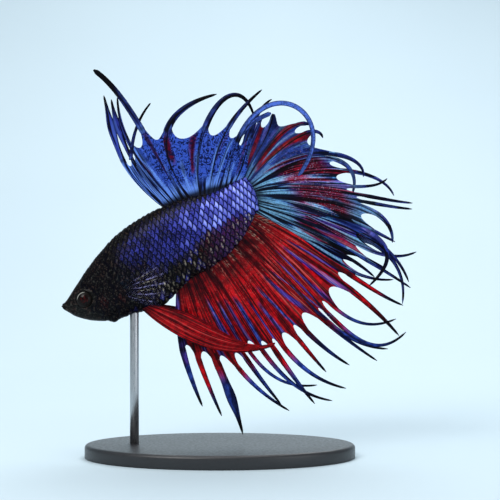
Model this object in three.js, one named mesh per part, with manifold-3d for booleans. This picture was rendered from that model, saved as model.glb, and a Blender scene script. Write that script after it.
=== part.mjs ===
// A crowntail betta fish on a plain display stand, in millimetres.
// +Z is up, the fish faces -X and its left side is -Y; the stand's base is centred on the origin.
import * as THREE from "three";
import { mergeVertices } from "three/addons/utils/BufferGeometryUtils.js";
import Module from "manifold-3d";

const wasm = await Module();
wasm.setup();

// Driving sizes
const GAP = 0.3;
const WEB_THICK = 0.5;
const RAY_THICK = 0.62;
const TIP_WIDE = 0.5;
const SCALLOP = 0.12;
const WEB_ROWS = 5;
const FREE_STEP = 2.6;
const SECTION_SIDES = 20;
const EYE = { x: -29.8, y: 2.15, z: 35.1, radius: 1.9, depth: 1.25 };
const GILL = { x: -25.0, z: 35.8, length: 2.7, height: 4.3, inside: 2.2 };
const MOUTH = { x: -35.6, z: 33.75, slope: -24, length: 6.2, drop: 4 };
const BASE = { length: 60, width: 38, height: 3, bevel: 0.7 };
const ROD = { x: -19, radius: 1, top: 36 };

// Body stations from snout to tail root: back x z, belly x z, half width.
const STATIONS = [
  [-34.9, 34.0, -35.0, 33.2, 0.6],
  [-34.1, 34.9, -34.2, 32.4, 1.1],
  [-32.7, 37.1, -32.0, 31.1, 2.0],
  [-30.2, 40.9, -28.4, 30.2, 3.0],
  [-27.3, 44.8, -23.8, 30.2, 3.7],
  [-23.3, 49.1, -18.7, 31.9, 4.0],
  [-18.0, 53.0, -12.7, 33.6, 3.9],
  [-12.2, 55.9, -6.7, 39.3, 3.3],
  [-6.7, 57.9, -1.6, 42.2, 2.8],
  [-1.6, 58.9, 3.1, 46.2, 2.3],
  [2.7, 61.1, 6.4, 50.7, 1.7],
  [5.1, 62.3, 8.2, 54.4, 1.1],
];
const SNOUT_ROUND = 0.4;
const TAIL_ROUND = 1.3;

// Where the body is parted, as a share of the stations.
const GILL_LINE = 4.62 / 11;
const WAIST_LINE = 7 / 11;
const PEDUNCLE_LINE = 9.4 / 11;
const PART_STEP = 0.0034;

// Each ray: tip x z, leaving and arriving headings in degrees, reach of each, share inside the web,
// sideways lean of the tip, width where it leaves the web, and width at the tip if not TIP_WIDE.
const FINS = {
  dorsal_fin: {
    base: [[-12.0, 55.0], [-5.2, 57.1], [2.6, 60.0]],
    offset: 0,
    rays: [
      [-25.9, 80.4, 144, 104, 0.46, 0.35, 0.49, 0.7, 1.2],
      [-24.2, 79.5, 137, 100, 0.35, 0.35, 0.52, 0.4, 0.9],
      [-22.8, 80.0, 133, 91, 0.35, 0.35, 0.6, 0.1, 0.9],
      [-28.0, 85.9, 122, 146, 0.4, 0.25, 0.53, -0.9, 1.4, 1.1],
      [-0.7, 80.6, 131, 14, 0.6, 0.56, 0.55, -0.3, 1.7],
      [7.6, 75.6, 101, -74, 0.8, 0.6, 0.48, 0, 1.5],
      [9.3, 81.4, 84, 40, 0.4, 0.4, 0.6, -2, 1.2],
      [11.3, 76.2, 72, 20, 0.45, 0.4, 0.62, -2.1, 1.1, 1.0],
      [17.2, 62.2, 84, -128, 1.9, 1.22, 0.24, -5.2, 1.2, 0.9],
      [11.5, 79.4, 56, 30, 0.4, 0.3, 0.55, -1, 1.0],
    ],
  },
  caudal_fin: {
    base: [[4.6, 61.2], [6.6, 59.4], [7.2, 57.4], [6.6, 55.4]],
    offset: 0.1,
    rays: [
      [6.9, 75.1, 97, 68, 0.35, 0.35, 0.95, 1.3, 0.8],
      [9.3, 75.6, 86, 62, 0.35, 0.35, 0.95, 1.2, 0.8],
      [11.7, 76.4, 74, 84, 0.35, 0.35, 0.95, 1.0, 0.8],
      [20.2, 74.0, 60, -14, 0.4, 0.3, 0.93, 0.7, 1.0],
      [22.9, 70.9, 52, -75, 0.6, 0.22, 0.8, 0.4, 1.1],
      [31.8, 62.2, 45, -100, 0.62, 0.22, 0.72, -0.6, 1.1],
      [29.3, 58.2, 39, -112, 0.8, 0.4, 0.7, 0.4, 1.1],
      [38.8, 58.1, 29, -68, 0.4, 0.25, 0.64, 1.4, 1.0],
      [37.1, 61.9, 25, 50, 0.35, 0.2, 0.74, -0.6, 0.8],
      [42.7, 56.4, 17, -5, 0.35, 0.3, 0.74, -0.7, 0.9],
      [42.7, 55.1, 10, -5, 0.35, 0.3, 0.76, 0.2, 0.9],
      [38.4, 47.6, 4, -95, 0.4, 0.3, 0.8, 0.9, 1.2],
      [38.9, 47.8, -2, -28, 0.35, 0.35, 0.84, 0, 0.9],
      [43.7, 45.6, -7, 25, 0.4, 0.3, 0.75, 0.5, 0.9],
      [32.9, 38.0, -11, -138, 0.7, 0.5, 0.64, -1.6, 1.3],
      [41.9, 38.9, -15, -70, 0.35, 0.35, 0.7, -0.5, 1.0],
      [40.7, 34.0, -18, -98, 0.4, 0.4, 0.64, 1.4, 1.0],
      [42.4, 37.6, -22, -34, 0.35, 0.35, 0.72, 0.5, 0.9],
      [36.7, 42.0, -25, -28, 0.35, 0.35, 0.8, 1.3, 0.8],
      [38.7, 39.4, -28, 5, 0.4, 0.3, 0.76, 1.6, 0.8],
      [34.4, 40.0, -32, -42, 0.35, 0.35, 0.84, 0.7, 0.8],
    ],
  },
  anal_fin: {
    base: [[-9.4, 39.2], [-6.6, 41.6], [-3.0, 44.2], [1.2, 47.9], [4.8, 51.3], [6.5, 53.9]],
    offset: -0.1,
    rays: [
      [-3.9, 11.2, -97, -67, 0.35, 0.35, 0.54, 0.5, 1.5],
      [0.4, 9.1, -85, -66, 0.35, 0.35, 0.58, 0.2, 1.3],
      [5.1, 5.1, -77, -76, 0.35, 0.35, 0.57, -0.3, 1.8],
      [15.4, 10.3, -69, -30, 0.45, 0.35, 0.63, 0.1, 1.1],
      [13.6, 11.6, -64, -50, 0.35, 0.35, 0.66, 1, 1.2],
      [21.6, 16.0, -60, 8, 0.5, 0.35, 0.56, 0.3, 0.9],
      [24.9, 12.6, -56, -8, 0.45, 0.3, 0.56, -0.6, 1.1],
      [21.0, 12.0, -52, -50, 0.35, 0.35, 0.66, -1.5, 1.3],
      [28.0, 15.3, -50, -13, 0.45, 0.35, 0.62, -0.4, 1.2],
      [23.6, 18.9, -48, -48, 0.35, 0.35, 0.76, 0.1, 1.1],
      [28.8, 20.4, -45, -30, 0.35, 0.35, 0.7, 0.4, 1.2],
      [34.9, 21.4, -43, -33, 0.35, 0.35, 0.62, 0, 1.1],
      [37.2, 24.1, -41, -2, 0.45, 0.3, 0.64, -0.9, 1.0],
      [41.1, 27.9, -39, 45, 0.5, 0.35, 0.62, -1.8, 1.1],
      [38.9, 30.8, -37, 24, 0.5, 0.35, 0.64, -1.8, 0.9],
      [39.7, 27.0, -34, -50, 0.35, 0.3, 0.66, -0.8, 1.4],
      [40.4, 33.8, -24, -22, 0.4, 0.25, 0.66, -2.4, 1.2],
    ],
  },
  pelvic_fin_left: {
    base: [[-17.3, 33.0], [-16.2, 33.4], [-15.2, 33.9]],
    offset: -1.5,
    rays: [
      [12.2, 25.4, -44, 24, 0.25, 0.42, 0.97, -1.6, 0.7],
      [12.2, 25.6, -34, 24, 0.3, 0.4, 0.97, -1.7, 0.7],
      [11.0, 25.0, -28, 10, 0.35, 0.35, 0.97, -1.8, 0.7],
      [9.0, 24.8, -16, -5, 0.35, 0.35, 0.97, -1.9, 0.7],
      [6.0, 25.1, -4, -22, 0.45, 0.35, 0.97, -2.0, 0.7],
    ],
  },
  pelvic_fin_right: {
    base: [[-17.3, 33.0], [-16.2, 33.4], [-15.2, 33.9]],
    offset: 1.5,
    rays: [
      [9.2, 27.4, -45, 18, 0.25, 0.45, 0.97, 1.9, 0.7],
      [9.2, 27.6, -34, 18, 0.3, 0.4, 0.97, 2.0, 0.7],
      [8.0, 27.2, -24, 6, 0.35, 0.35, 0.97, 2.1, 0.7],
      [6.0, 27.1, -12, -8, 0.35, 0.35, 0.97, 2.2, 0.7],
      [3.0, 28.0, -1, -20, 0.45, 0.35, 0.97, 2.3, 0.7],
    ],
  },
};

// The far and near pectoral fins are one fan, mirrored across the body.
const PECTORAL = {
  base: [[-20.6, 36.0], [-20.4, 37.4], [-19.9, 38.7]],
  offset: -3.9,
  rays: [
    [-12.8, 33.8, -34, -6, 0.35, 0.35, 0.97, -1.5, 0.6],
    [-10.9, 36.2, -14, 0, 0.35, 0.35, 0.97, -1.9, 0.6],
    [-10.4, 39.2, 4, 10, 0.35, 0.35, 0.97, -2.1, 0.6],
    [-11.2, 42.0, 24, 22, 0.35, 0.35, 0.97, -1.9, 0.6],
    [-13.6, 43.6, 44, 36, 0.35, 0.35, 0.97, -1.5, 0.6],
  ],
};

// A thin streamer that leaves the fourth dorsal ray and curls back over it.
const STREAMER = { root: [-19.8, 66.0], ray: [-15.4, 78.6, 88, 50, 0.35, 0.35, 0, -0.4, 0.9] };

// A closed body from rows of points, whichever way its faces were listed.
function solid(points, faces) {
  const make = (order) =>
    new wasm.Manifold(
      new wasm.Mesh({
        numProp: 3,
        vertProperties: new Float32Array(points.flat()),
        triVerts: new Uint32Array(faces.flatMap(order)),
      }),
    );
  const body = make(([a, b, c]) => [a, b, c]);
  return body.volume() > 0 ? body : make(([a, b, c]) => [a, c, b]);
}

// A closed body through a run of rings with the same number of points, capped at both ends.
function loft(rings) {
  const sides = rings[0].length;
  const points = rings.flat();
  const faces = [];
  for (let r = 0; r < rings.length - 1; r++) {
    for (let i = 0; i < sides; i++) {
      const a = r * sides + i;
      const b = r * sides + ((i + 1) % sides);
      faces.push([a, b, b + sides], [a, b + sides, a + sides]);
    }
  }
  const middle = (ring) => [0, 1, 2].map((k) => ring.reduce((sum, p) => sum + p[k], 0) / sides);
  const last = (rings.length - 1) * sides;
  points.push(middle(rings[0]), middle(rings[rings.length - 1]));
  for (let i = 0; i < sides; i++) {
    const next = (i + 1) % sides;
    faces.push([points.length - 2, next, i], [points.length - 1, last + i, last + next]);
  }
  return solid(points, faces);
}

// A three.js geometry as a solid.
function solidOf(geometry) {
  geometry.deleteAttribute("normal");
  geometry.deleteAttribute("uv");
  const merged = mergeVertices(geometry, 1e-4);
  const p = merged.attributes.position;
  const points = Array.from({ length: p.count }, (_, i) => [p.getX(i), p.getY(i), p.getZ(i)]);
  const index = Array.from(merged.index.array);
  const faces = [];
  for (let i = 0; i < index.length; i += 3) faces.push(index.slice(i, i + 3));
  const sound = faces.filter(([a, b, c]) => a !== b && b !== c && a !== c);
  return solid(points, sound);
}

function largest(body) {
  return body.decompose().sort((a, b) => b.volume() - a.volume())[0];
}

const vector = ([x, z]) => new THREE.Vector2(x, z);
const heading = (degrees) => {
  const angle = THREE.MathUtils.degToRad(degrees);
  return new THREE.Vector2(Math.cos(angle), Math.sin(angle));
};

// Body
const backLine = new THREE.SplineCurve(STATIONS.map(([x, z]) => new THREE.Vector2(x, z)));
const bellyLine = new THREE.SplineCurve(STATIONS.map(([, , x, z]) => new THREE.Vector2(x, z)));
const widthLine = new THREE.SplineCurve(STATIONS.map((row, i) => new THREE.Vector2(i, row[4])));

// One cross-section: share along the body, growth outwards, and a closing angle at either end.
function bodyRing(share, grow, closing = 0, reach = 0) {
  const back = backLine.getPoint(share);
  const belly = bellyLine.getPoint(share);
  const centre = back.clone().add(belly).multiplyScalar(0.5);
  const up = back.clone().sub(belly);
  const tall = up.length() / 2 + grow;
  up.normalize();
  const ahead = new THREE.Vector2(up.y, -up.x).multiplyScalar(reach * Math.sin(closing));
  const shrink = Math.cos(closing);
  const half = widthLine.getPoint(share).y + grow;
  return Array.from({ length: SECTION_SIDES }, (_, i) => {
    const turn = (i / SECTION_SIDES) * 2 * Math.PI;
    const rise = Math.cos(turn) * tall * shrink;
    const out = Math.sign(Math.sin(turn)) * Math.abs(Math.sin(turn)) ** 0.92;
    return [
      centre.x + up.x * rise + ahead.x,
      out * half * shrink,
      centre.y + up.y * rise + ahead.y,
    ];
  });
}

// A length of the body between two shares; an end at 0 or 1 is rounded off.
function bodyLength(from, to, grow = 0) {
  const steps = Math.max(3, Math.round((to - from) * 24));
  const rings = [];
  const closings = [1.25, 0.8, 0.4];
  if (from === 0) closings.forEach((c) => rings.push(bodyRing(0, grow, c, -(SNOUT_ROUND + grow))));
  for (let i = 0; i <= steps; i++) rings.push(bodyRing(from + ((to - from) * i) / steps, grow));
  if (to === 1) {
    closings.toReversed().forEach((c) => rings.push(bodyRing(1, grow, c, TAIL_ROUND + grow)));
  }
  return loft(rings);
}

const eyeball = (side, grow) => {
  const ball = new THREE.SphereGeometry(1, 14, 8);
  ball.rotateX(Math.PI / 2);
  ball.scale(EYE.radius + grow, EYE.depth + grow, EYE.radius + grow);
  ball.translate(EYE.x, side * EYE.y, EYE.z);
  return solidOf(ball);
};

const gillPlug = (side, grow) => {
  const plug = new THREE.CylinderGeometry(1, 1, 8, 16);
  plug.scale(GILL.length + grow, 1, GILL.height + grow);
  plug.translate(GILL.x, side * (GILL.inside - grow + 4), GILL.z);
  return solidOf(plug);
};

const jawBlock = (grow) => {
  const block = new THREE.BoxGeometry(MOUTH.length + grow, 12, MOUTH.drop + grow);
  block.translate(MOUTH.length / 2, 0, -MOUTH.drop / 2);
  block.rotateY(-THREE.MathUtils.degToRad(MOUTH.slope));
  block.translate(MOUTH.x, 0, MOUTH.z);
  return solidOf(block);
};

const wholeBody = bodyLength(0, 1, GAP);
const headWhole = bodyLength(0, GILL_LINE - PART_STEP);
const jaw = largest(headWhole.intersect(jawBlock(0)));
const sides = { left: -1, right: 1 };
let head = headWhole.subtract(jawBlock(2 * GAP));
const covers = {};
const eyes = {};
for (const [name, side] of Object.entries(sides)) {
  eyes[name] = eyeball(side, 0);
  covers[name] = largest(headWhole.intersect(gillPlug(side, 0)));
  head = head.subtract(gillPlug(side, GAP)).subtract(eyeball(side, GAP));
}

// Fins
function rayCurve(root, ray) {
  const tip = vector(ray);
  const span = tip.distanceTo(root);
  const leave = root.clone().addScaledVector(heading(ray[2]), span * ray[4]);
  const arrive = tip.clone().addScaledVector(heading(ray[3]), -span * ray[5]);
  return new THREE.CubicBezierCurve(root, leave, arrive, tip);
}

const sway = (share) => 1 - (1 - share) ** 2;

function rayPoint(curve, ray, offset, share) {
  const p = curve.getPointAt(share);
  return [p.x, offset + ray[7] * sway(share), p.y];
}

// Half the width of a ray at a share of its length: it widens to the web's edge, then tapers.
function halfWide(ray, share) {
  const [web, , wide, tip = TIP_WIDE] = ray.slice(6);
  if (share < web) return (wide / 2) * (0.12 + 0.88 * (share / web) ** 2);
  return (tip + (wide - tip) * ((1 - share) / (1 - web)) ** 0.8) / 2;
}

// A point beside a ray, at a share of its length, on one side or the other.
function besideRay(curve, ray, offset, share, side) {
  const [x, y, z] = rayPoint(curve, ray, offset, share);
  const along = curve.getTangentAt(share);
  const out = side * halfWide(ray, share);
  return [x - along.y * out, y, z + along.x * out];
}

// The body's outline in side view, a gap outside its skin.
const outline = [0, SECTION_SIDES / 2].map((corner) => {
  const shares = Array.from({ length: 61 }, (_, i) => i / 60);
  const line = shares.map((share) => bodyRing(share, GAP)[corner]);
  const caps = [0.3, 0.6, 0.9, 1.2, 1.5].map((c) => bodyRing(1, GAP, c, TAIL_ROUND + GAP)[corner]);
  return [...line, ...caps];
});
outline[1].reverse();
const outlineLoop = outline.flat();

function insideBody([x, , z]) {
  let inside = false;
  outlineLoop.forEach(([ax, , az], i) => {
    const [bx, , bz] = outlineLoop[(i + 1) % outlineLoop.length];
    if (az > z !== bz > z && x < ((bx - ax) * (z - az)) / (bz - az) + ax) inside = !inside;
  });
  return inside;
}

// The share of its length at which a ray comes out of the body.
function rootShare(curve, ray) {
  let share = 0;
  while (insideBody(rayPoint(curve, ray, 0, share))) share += 0.002;
  return share;
}

// A closed plate from middle points with a thickness each, walled in along its open edges.
function plate(points, quads) {
  const count = points.length;
  const face = (side) => points.map(([x, y, z, thick]) => [x, y + (side * thick) / 2, z]);
  const open = new Map();
  const faces = [];
  quads.forEach(([a, b, c, d]) => {
    faces.push([a, b, c], [a, c, d], [count + a, count + c, count + b], [count + a, count + d, count + c]);
    [[a, b], [b, c], [c, d], [d, a]].forEach(([from, to]) => {
      if (!open.delete(`${to} ${from}`)) open.set(`${from} ${to}`, [from, to]);
    });
  });
  for (const [from, to] of open.values()) {
    faces.push([to, from, count + from], [to, count + from, count + to]);
  }
  return solid([...face(-1), ...face(1)], faces);
}

// A fin: a web from ray to ray, dipping between them at its edge, and the rays' free ends past it.
function finBody(fin) {
  const base = new THREE.SplineCurve(fin.base.map(vector));
  const last = fin.rays.length - 1;
  const way = Math.sign(fin.rays[0][2] - fin.rays[last][2]);
  const curves = fin.rays.map((ray, i) => rayCurve(base.getPoint(i / last), ray));
  const roots = curves.map((curve, i) => (fin.leaf ? 0 : rootShare(curve, fin.rays[i])));
  const points = [];
  const quads = [];
  const add = (point, thick) => points.push([...point, thick]) - 1;
  const join = (one, two) => {
    for (let r = 0; r < one.length - 1; r++) quads.push([one[r], two[r], two[r + 1], one[r + 1]]);
  };
  const shareAt = (i, part) => roots[i] + (fin.rays[i][6] - roots[i]) * part;
  const rows = Array.from({ length: WEB_ROWS + 1 }, (_, r) => r / WEB_ROWS);
  const edge = (i, side) =>
    rows.map((part) => {
      return add(besideRay(curves[i], fin.rays[i], fin.offset, shareAt(i, part), side), RAY_THICK);
    });
  const between = (i) =>
    rows.map((part) => {
      const [a, b] = [i, i + 1].map((k) => {
        return rayPoint(curves[k], fin.rays[k], fin.offset, shareAt(k, part * (1 - SCALLOP)));
      });
      return add([0, 1, 2].map((k) => (a[k] + b[k]) / 2), WEB_THICK);
    });
  let previous = null;
  curves.forEach((curve, i) => {
    const ray = fin.rays[i];
    const left = edge(i, way);
    const right = fin.leaf ? left : edge(i, -way);
    if (previous) join(previous, left);
    if (!fin.leaf) {
      join(left, right);
      const free = 1 - ray[6];
      const steps = Math.max(3, Math.round((curve.getLength() * free) / FREE_STEP));
      let pair = [left[WEB_ROWS], right[WEB_ROWS]];
      for (let k = 1; k <= steps; k++) {
        const share = ray[6] + (free * k) / steps;
        const next = [way, -way].map((side) => {
          return add(besideRay(curve, ray, fin.offset, share, side), RAY_THICK);
        });
        quads.push([pair[0], pair[1], next[1], next[0]]);
        pair = next;
      }
    }
    previous = right;
    if (i < last && !fin.leaf) {
      const middle = between(i);
      join(right, middle);
      previous = middle;
    }
  });
  return plate(points, quads);
}

// A leaf-shaped fin beside the body, cut clear of its skin.
const leafBody = (fin) => largest(finBody({ ...fin, leaf: true }).subtract(wholeBody));

// A tapered streamer on its own.
function streamerBody({ root, ray }) {
  const curve = rayCurve(vector(root), ray);
  const steps = Math.round(curve.getLength() / FREE_STEP);
  const points = [];
  const quads = [];
  for (let k = 0; k <= steps; k++) {
    [1, -1].forEach((side) => points.push([...besideRay(curve, ray, 0, k / steps, side), RAY_THICK]));
    if (k) quads.push([2 * k - 2, 2 * k - 1, 2 * k + 1, 2 * k]);
  }
  return plate(points, quads);
}

const mirrored = (fin) => ({
  base: fin.base,
  offset: -fin.offset,
  rays: fin.rays.map((ray) => ray.map((value, i) => (i === 7 ? -value : value))),
});

// Stand
const baseProfile = [
  [0, 0],
  [1, 0],
  [1, BASE.height - BASE.bevel],
  [1 - (2 * BASE.bevel) / BASE.width, BASE.height],
  [0, BASE.height],
].map(vector);
const standBase = new THREE.LatheGeometry(baseProfile, 40);
standBase.rotateX(Math.PI / 2);
standBase.scale(BASE.length / 2, BASE.width / 2, 1);
const rod = new THREE.CylinderGeometry(ROD.radius, ROD.radius, ROD.top - BASE.height - GAP, 16);
rod.rotateX(Math.PI / 2);
rod.translate(ROD.x, 0, (ROD.top + BASE.height + GAP) / 2);

const LOOKS = {
  dark_skin: { color: 0x15141c, roughness: 0.45, metalness: 0.1 },
  violet_scale: { color: 0x4440b8, roughness: 0.35, metalness: 0.3 },
  blue_fin: { color: 0x2f58b4, roughness: 0.5, metalness: 0.05 },
  red_fin: { color: 0xb01420, roughness: 0.5, metalness: 0.05 },
  eye: { color: 0x0c0806, roughness: 0.1, metalness: 0 },
  stand: { color: 0x202226, roughness: 0.4, metalness: 0 },
  rod: { color: 0xb8babd, roughness: 0.3, metalness: 1 },
};

const PARTS = {
  head: [head, "dark_skin"],
  jaw: [jaw, "dark_skin"],
  gill_cover_left: [covers.left, "dark_skin"],
  gill_cover_right: [covers.right, "dark_skin"],
  eye_left: [eyes.left, "eye"],
  eye_right: [eyes.right, "eye"],
  trunk_front: [bodyLength(GILL_LINE + PART_STEP, WAIST_LINE - PART_STEP), "violet_scale"],
  trunk_rear: [bodyLength(WAIST_LINE + PART_STEP, PEDUNCLE_LINE - PART_STEP), "violet_scale"],
  tail_peduncle: [bodyLength(PEDUNCLE_LINE + PART_STEP, 1), "violet_scale"],
  dorsal_fin: [finBody(FINS.dorsal_fin).add(streamerBody(STREAMER)), "blue_fin"],
  caudal_fin: [finBody(FINS.caudal_fin), "blue_fin"],
  anal_fin: [finBody(FINS.anal_fin), "red_fin"],
  pelvic_fin_left: [leafBody(FINS.pelvic_fin_left), "red_fin"],
  pelvic_fin_right: [leafBody(FINS.pelvic_fin_right), "red_fin"],
  pectoral_fin_left: [leafBody(PECTORAL), "dark_skin"],
  pectoral_fin_right: [leafBody(mirrored(PECTORAL)), "dark_skin"],
  stand_base: [solidOf(standBase), "stand"],
  stand_rod: [largest(solidOf(rod).subtract(wholeBody)), "rod"],
};

function meshOf(name, body, look) {
  const made = body.getMesh();
  const geometry = new THREE.BufferGeometry();
  geometry.setAttribute("position", new THREE.BufferAttribute(made.vertProperties, 3));
  geometry.setIndex(new THREE.BufferAttribute(made.triVerts, 1));
  geometry.computeVertexNormals();
  const mesh = new THREE.Mesh(geometry, new THREE.MeshStandardMaterial(LOOKS[look]));
  mesh.name = name;
  return mesh;
}

const fish = new THREE.Group();
for (const [name, [body, look]] of Object.entries(PARTS)) fish.add(meshOf(name, body, look));

export default fish;
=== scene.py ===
"""A male crowntail betta on a plain display stand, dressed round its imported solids.

Lengths are in millimetres. X runs along the fish from its snout, Y across it, and Z up.
"""
from math import cos, pi, radians, sin

import bmesh
import bpy
import numpy as np
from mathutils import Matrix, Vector


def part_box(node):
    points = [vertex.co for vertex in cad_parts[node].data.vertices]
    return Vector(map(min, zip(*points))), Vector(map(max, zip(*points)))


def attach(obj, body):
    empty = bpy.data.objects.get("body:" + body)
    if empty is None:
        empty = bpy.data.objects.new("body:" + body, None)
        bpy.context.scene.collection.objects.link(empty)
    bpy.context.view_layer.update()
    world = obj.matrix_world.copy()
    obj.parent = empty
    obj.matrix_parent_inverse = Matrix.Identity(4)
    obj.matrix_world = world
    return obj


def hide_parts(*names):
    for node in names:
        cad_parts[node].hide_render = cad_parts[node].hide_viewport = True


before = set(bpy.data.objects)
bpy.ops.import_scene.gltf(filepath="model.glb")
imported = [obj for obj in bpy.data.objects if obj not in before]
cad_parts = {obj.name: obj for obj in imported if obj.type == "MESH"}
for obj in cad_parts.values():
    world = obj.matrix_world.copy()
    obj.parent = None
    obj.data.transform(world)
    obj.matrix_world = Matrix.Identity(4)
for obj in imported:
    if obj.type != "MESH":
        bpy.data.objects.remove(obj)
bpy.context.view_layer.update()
MM = 0.001

# ---------------------------------------------------------------- camera
VIEW = {"at": (6.67, -308.6, 46.0), "lens": 100, "sensor": 36, "nearest": 10}


def link(name, data):
    """A new object in the scene."""
    made = bpy.data.objects.new(name, data)
    bpy.context.scene.collection.objects.link(made)
    return made


def make_camera():
    data = bpy.data.cameras.new("camera")
    data.lens = VIEW["lens"]
    data.sensor_width = VIEW["sensor"]
    data.clip_start = VIEW["nearest"] * MM
    camera = link("camera", data)
    camera.location = Vector(VIEW["at"]) * MM
    camera.rotation_euler = (pi / 2, 0, 0)
    bpy.context.scene.camera = camera


make_camera()

# ---------------------------------------------------------------- sizes of the body
# Body stations from snout to tail root: back x z, belly x z, half width.
STATIONS = [
    (-34.9, 34.0, -35.0, 33.2, 0.6),
    (-34.1, 34.9, -34.2, 32.4, 1.1),
    (-32.7, 37.1, -32.0, 31.1, 2.0),
    (-30.2, 40.9, -28.4, 30.2, 3.0),
    (-27.3, 44.8, -23.8, 30.2, 3.7),
    (-23.3, 49.1, -18.7, 31.9, 4.0),
    (-18.0, 53.0, -12.7, 33.6, 3.9),
    (-12.2, 55.9, -6.7, 39.3, 3.3),
    (-6.7, 57.9, -1.6, 42.2, 2.8),
    (-1.6, 58.9, 3.1, 46.2, 2.3),
    (2.7, 61.1, 6.4, 50.7, 1.7),
    (5.1, 62.3, 8.2, 54.4, 1.1),
]
FULLNESS = 0.92  # below 1 the body's section is fuller than an ellipse
COAT_DEPTH = 0.16  # how far the skin lies inside the solids, to leave room for the scales
SNOUT_ROUND = 0.4
TAIL = {"round": 1.3, "share": 0.04, "closing": 1.4}  # its rounded end, past the last station
GILL_SHARE = 4.62 / 11  # the gill cover's edge, as a share of the stations
EYE = {"x": -29.8, "y": 1.98, "z": 35.1, "radius": 1.9, "depth": 1.25,
       "pupil": 0.42, "dome": 0.05, "socket": 1.05}
GILL = {"x": -25.0, "z": 35.8, "length": 2.7, "height": 4.3, "lift": 0.14}
MOUTH = {"x": -35.0, "z": 33.62, "slope": -24, "length": 2.7}
NOSTRIL = {"x": -32.3, "z": 36.1}
# Ridges and grooves of the skin: what they follow, at what distance, half width, height.
RIDGES = [
    ("eye", 2.02, 0.2, 0.13),
    ("eye", 2.6, 0.35, -0.08),
    ("mouth", 0, 0.12, -0.3),
    ("mouth", 0.4, 0.24, 0.15),
    ("mouth", -0.42, 0.26, 0.15),
    ("mouth", -0.95, 0.16, -0.1),
    ("nostril", 0.33, 0.14, 0.09),
    ("nostril", 0, 0.2, -0.26),
    ("gill edge", 1.12, 0.06, -0.12),
    ("gill bone", 0.52, 0.07, -0.12),
    ("keel", -23.4, 0.8, 0.45),
    ("keel", -24.9, 0.3, -0.18),
]
# Where the body's violet stands, by place along it: how strong, and its upper and lower limits.
VIOLET = {
    "x": [-24.0, -22.0, -19.5, -15.0, -11.0, -7.5, -3.0, 0.0, 5.5, 8.5],
    "strength": [0.0, 0.11, 0.17, 0.21, 0.29, 0.43, 0.76, 1.0, 1.0, 0.75],
    "top": [45.0, 47.0, 49.3, 51.9, 54.1, 55.8, 57.5, 58.9, 61.8, 61.5],
    "bottom": [43.4, 43.2, 43.0, 42.2, 43.2, 45.3, 50.0, 51.6, 53.6, 54.6],
}
# Soft patches of the body: middle and half size along x, and the same along z.
PATCHES = {
    "breast tan": (-12.4, 2.4, 37.6, 1.9),
    "gill cyan": (-21.2, 1.8, 39.0, 2.6),
    "gill red": (-22.3, 0.8, 35.4, 1.6),
    "cheek red": (-25.6, 0.8, 34.7, 1.2),
}
# How finely the skin is meshed; its ends close through cap_turn radians.
SKIN = {"head": 0.43, "head_rows": 190, "rows": 150, "cap_rows": 9, "cap_turn": 1.5, "around": 208}
# A scale's half height and its reach behind and ahead of its root, for a spacing of 1; then
# its thickness, the rise of its free edge, its height at the root and its middle's bulge.
SCALE = {"half": 1.02, "behind": 0.8, "ahead": -0.5,
         "thick": 0.075, "rise": 0.12, "sink": 0.02, "bulge": 0.04}
SCALE_ARC = 74  # degrees of its rounded edge, up and down from its middle
CHANCE = {"shift": 0.05, "tilt": 0.04}  # how much scales differ in place and rise
SPACING = {"along": 1.28, "up": 1.22}
# The points of a scale's mesh: up and down as shares of its half height, and along it.
SCALE_GRID = (np.sin(np.radians(np.linspace(-SCALE_ARC, SCALE_ARC, 7))),
              np.array([[0.0], [0.42], [0.72], [0.91], [1.0]]))
SCALE_ROWS = 18  # on each side of the side line
FACE_SIZE = 0.66  # of the scales on the head
FACE_START = 3.2  # where they start, along the side line
# Where the head has no scales: round the eye, on the snout, and on the jaw below a line.
BARE = {"eye": 2.9, "snout": -30.6, "jaw": -26, "line_x": -30, "line_z": 33.0, "slope": -0.2}

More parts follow.
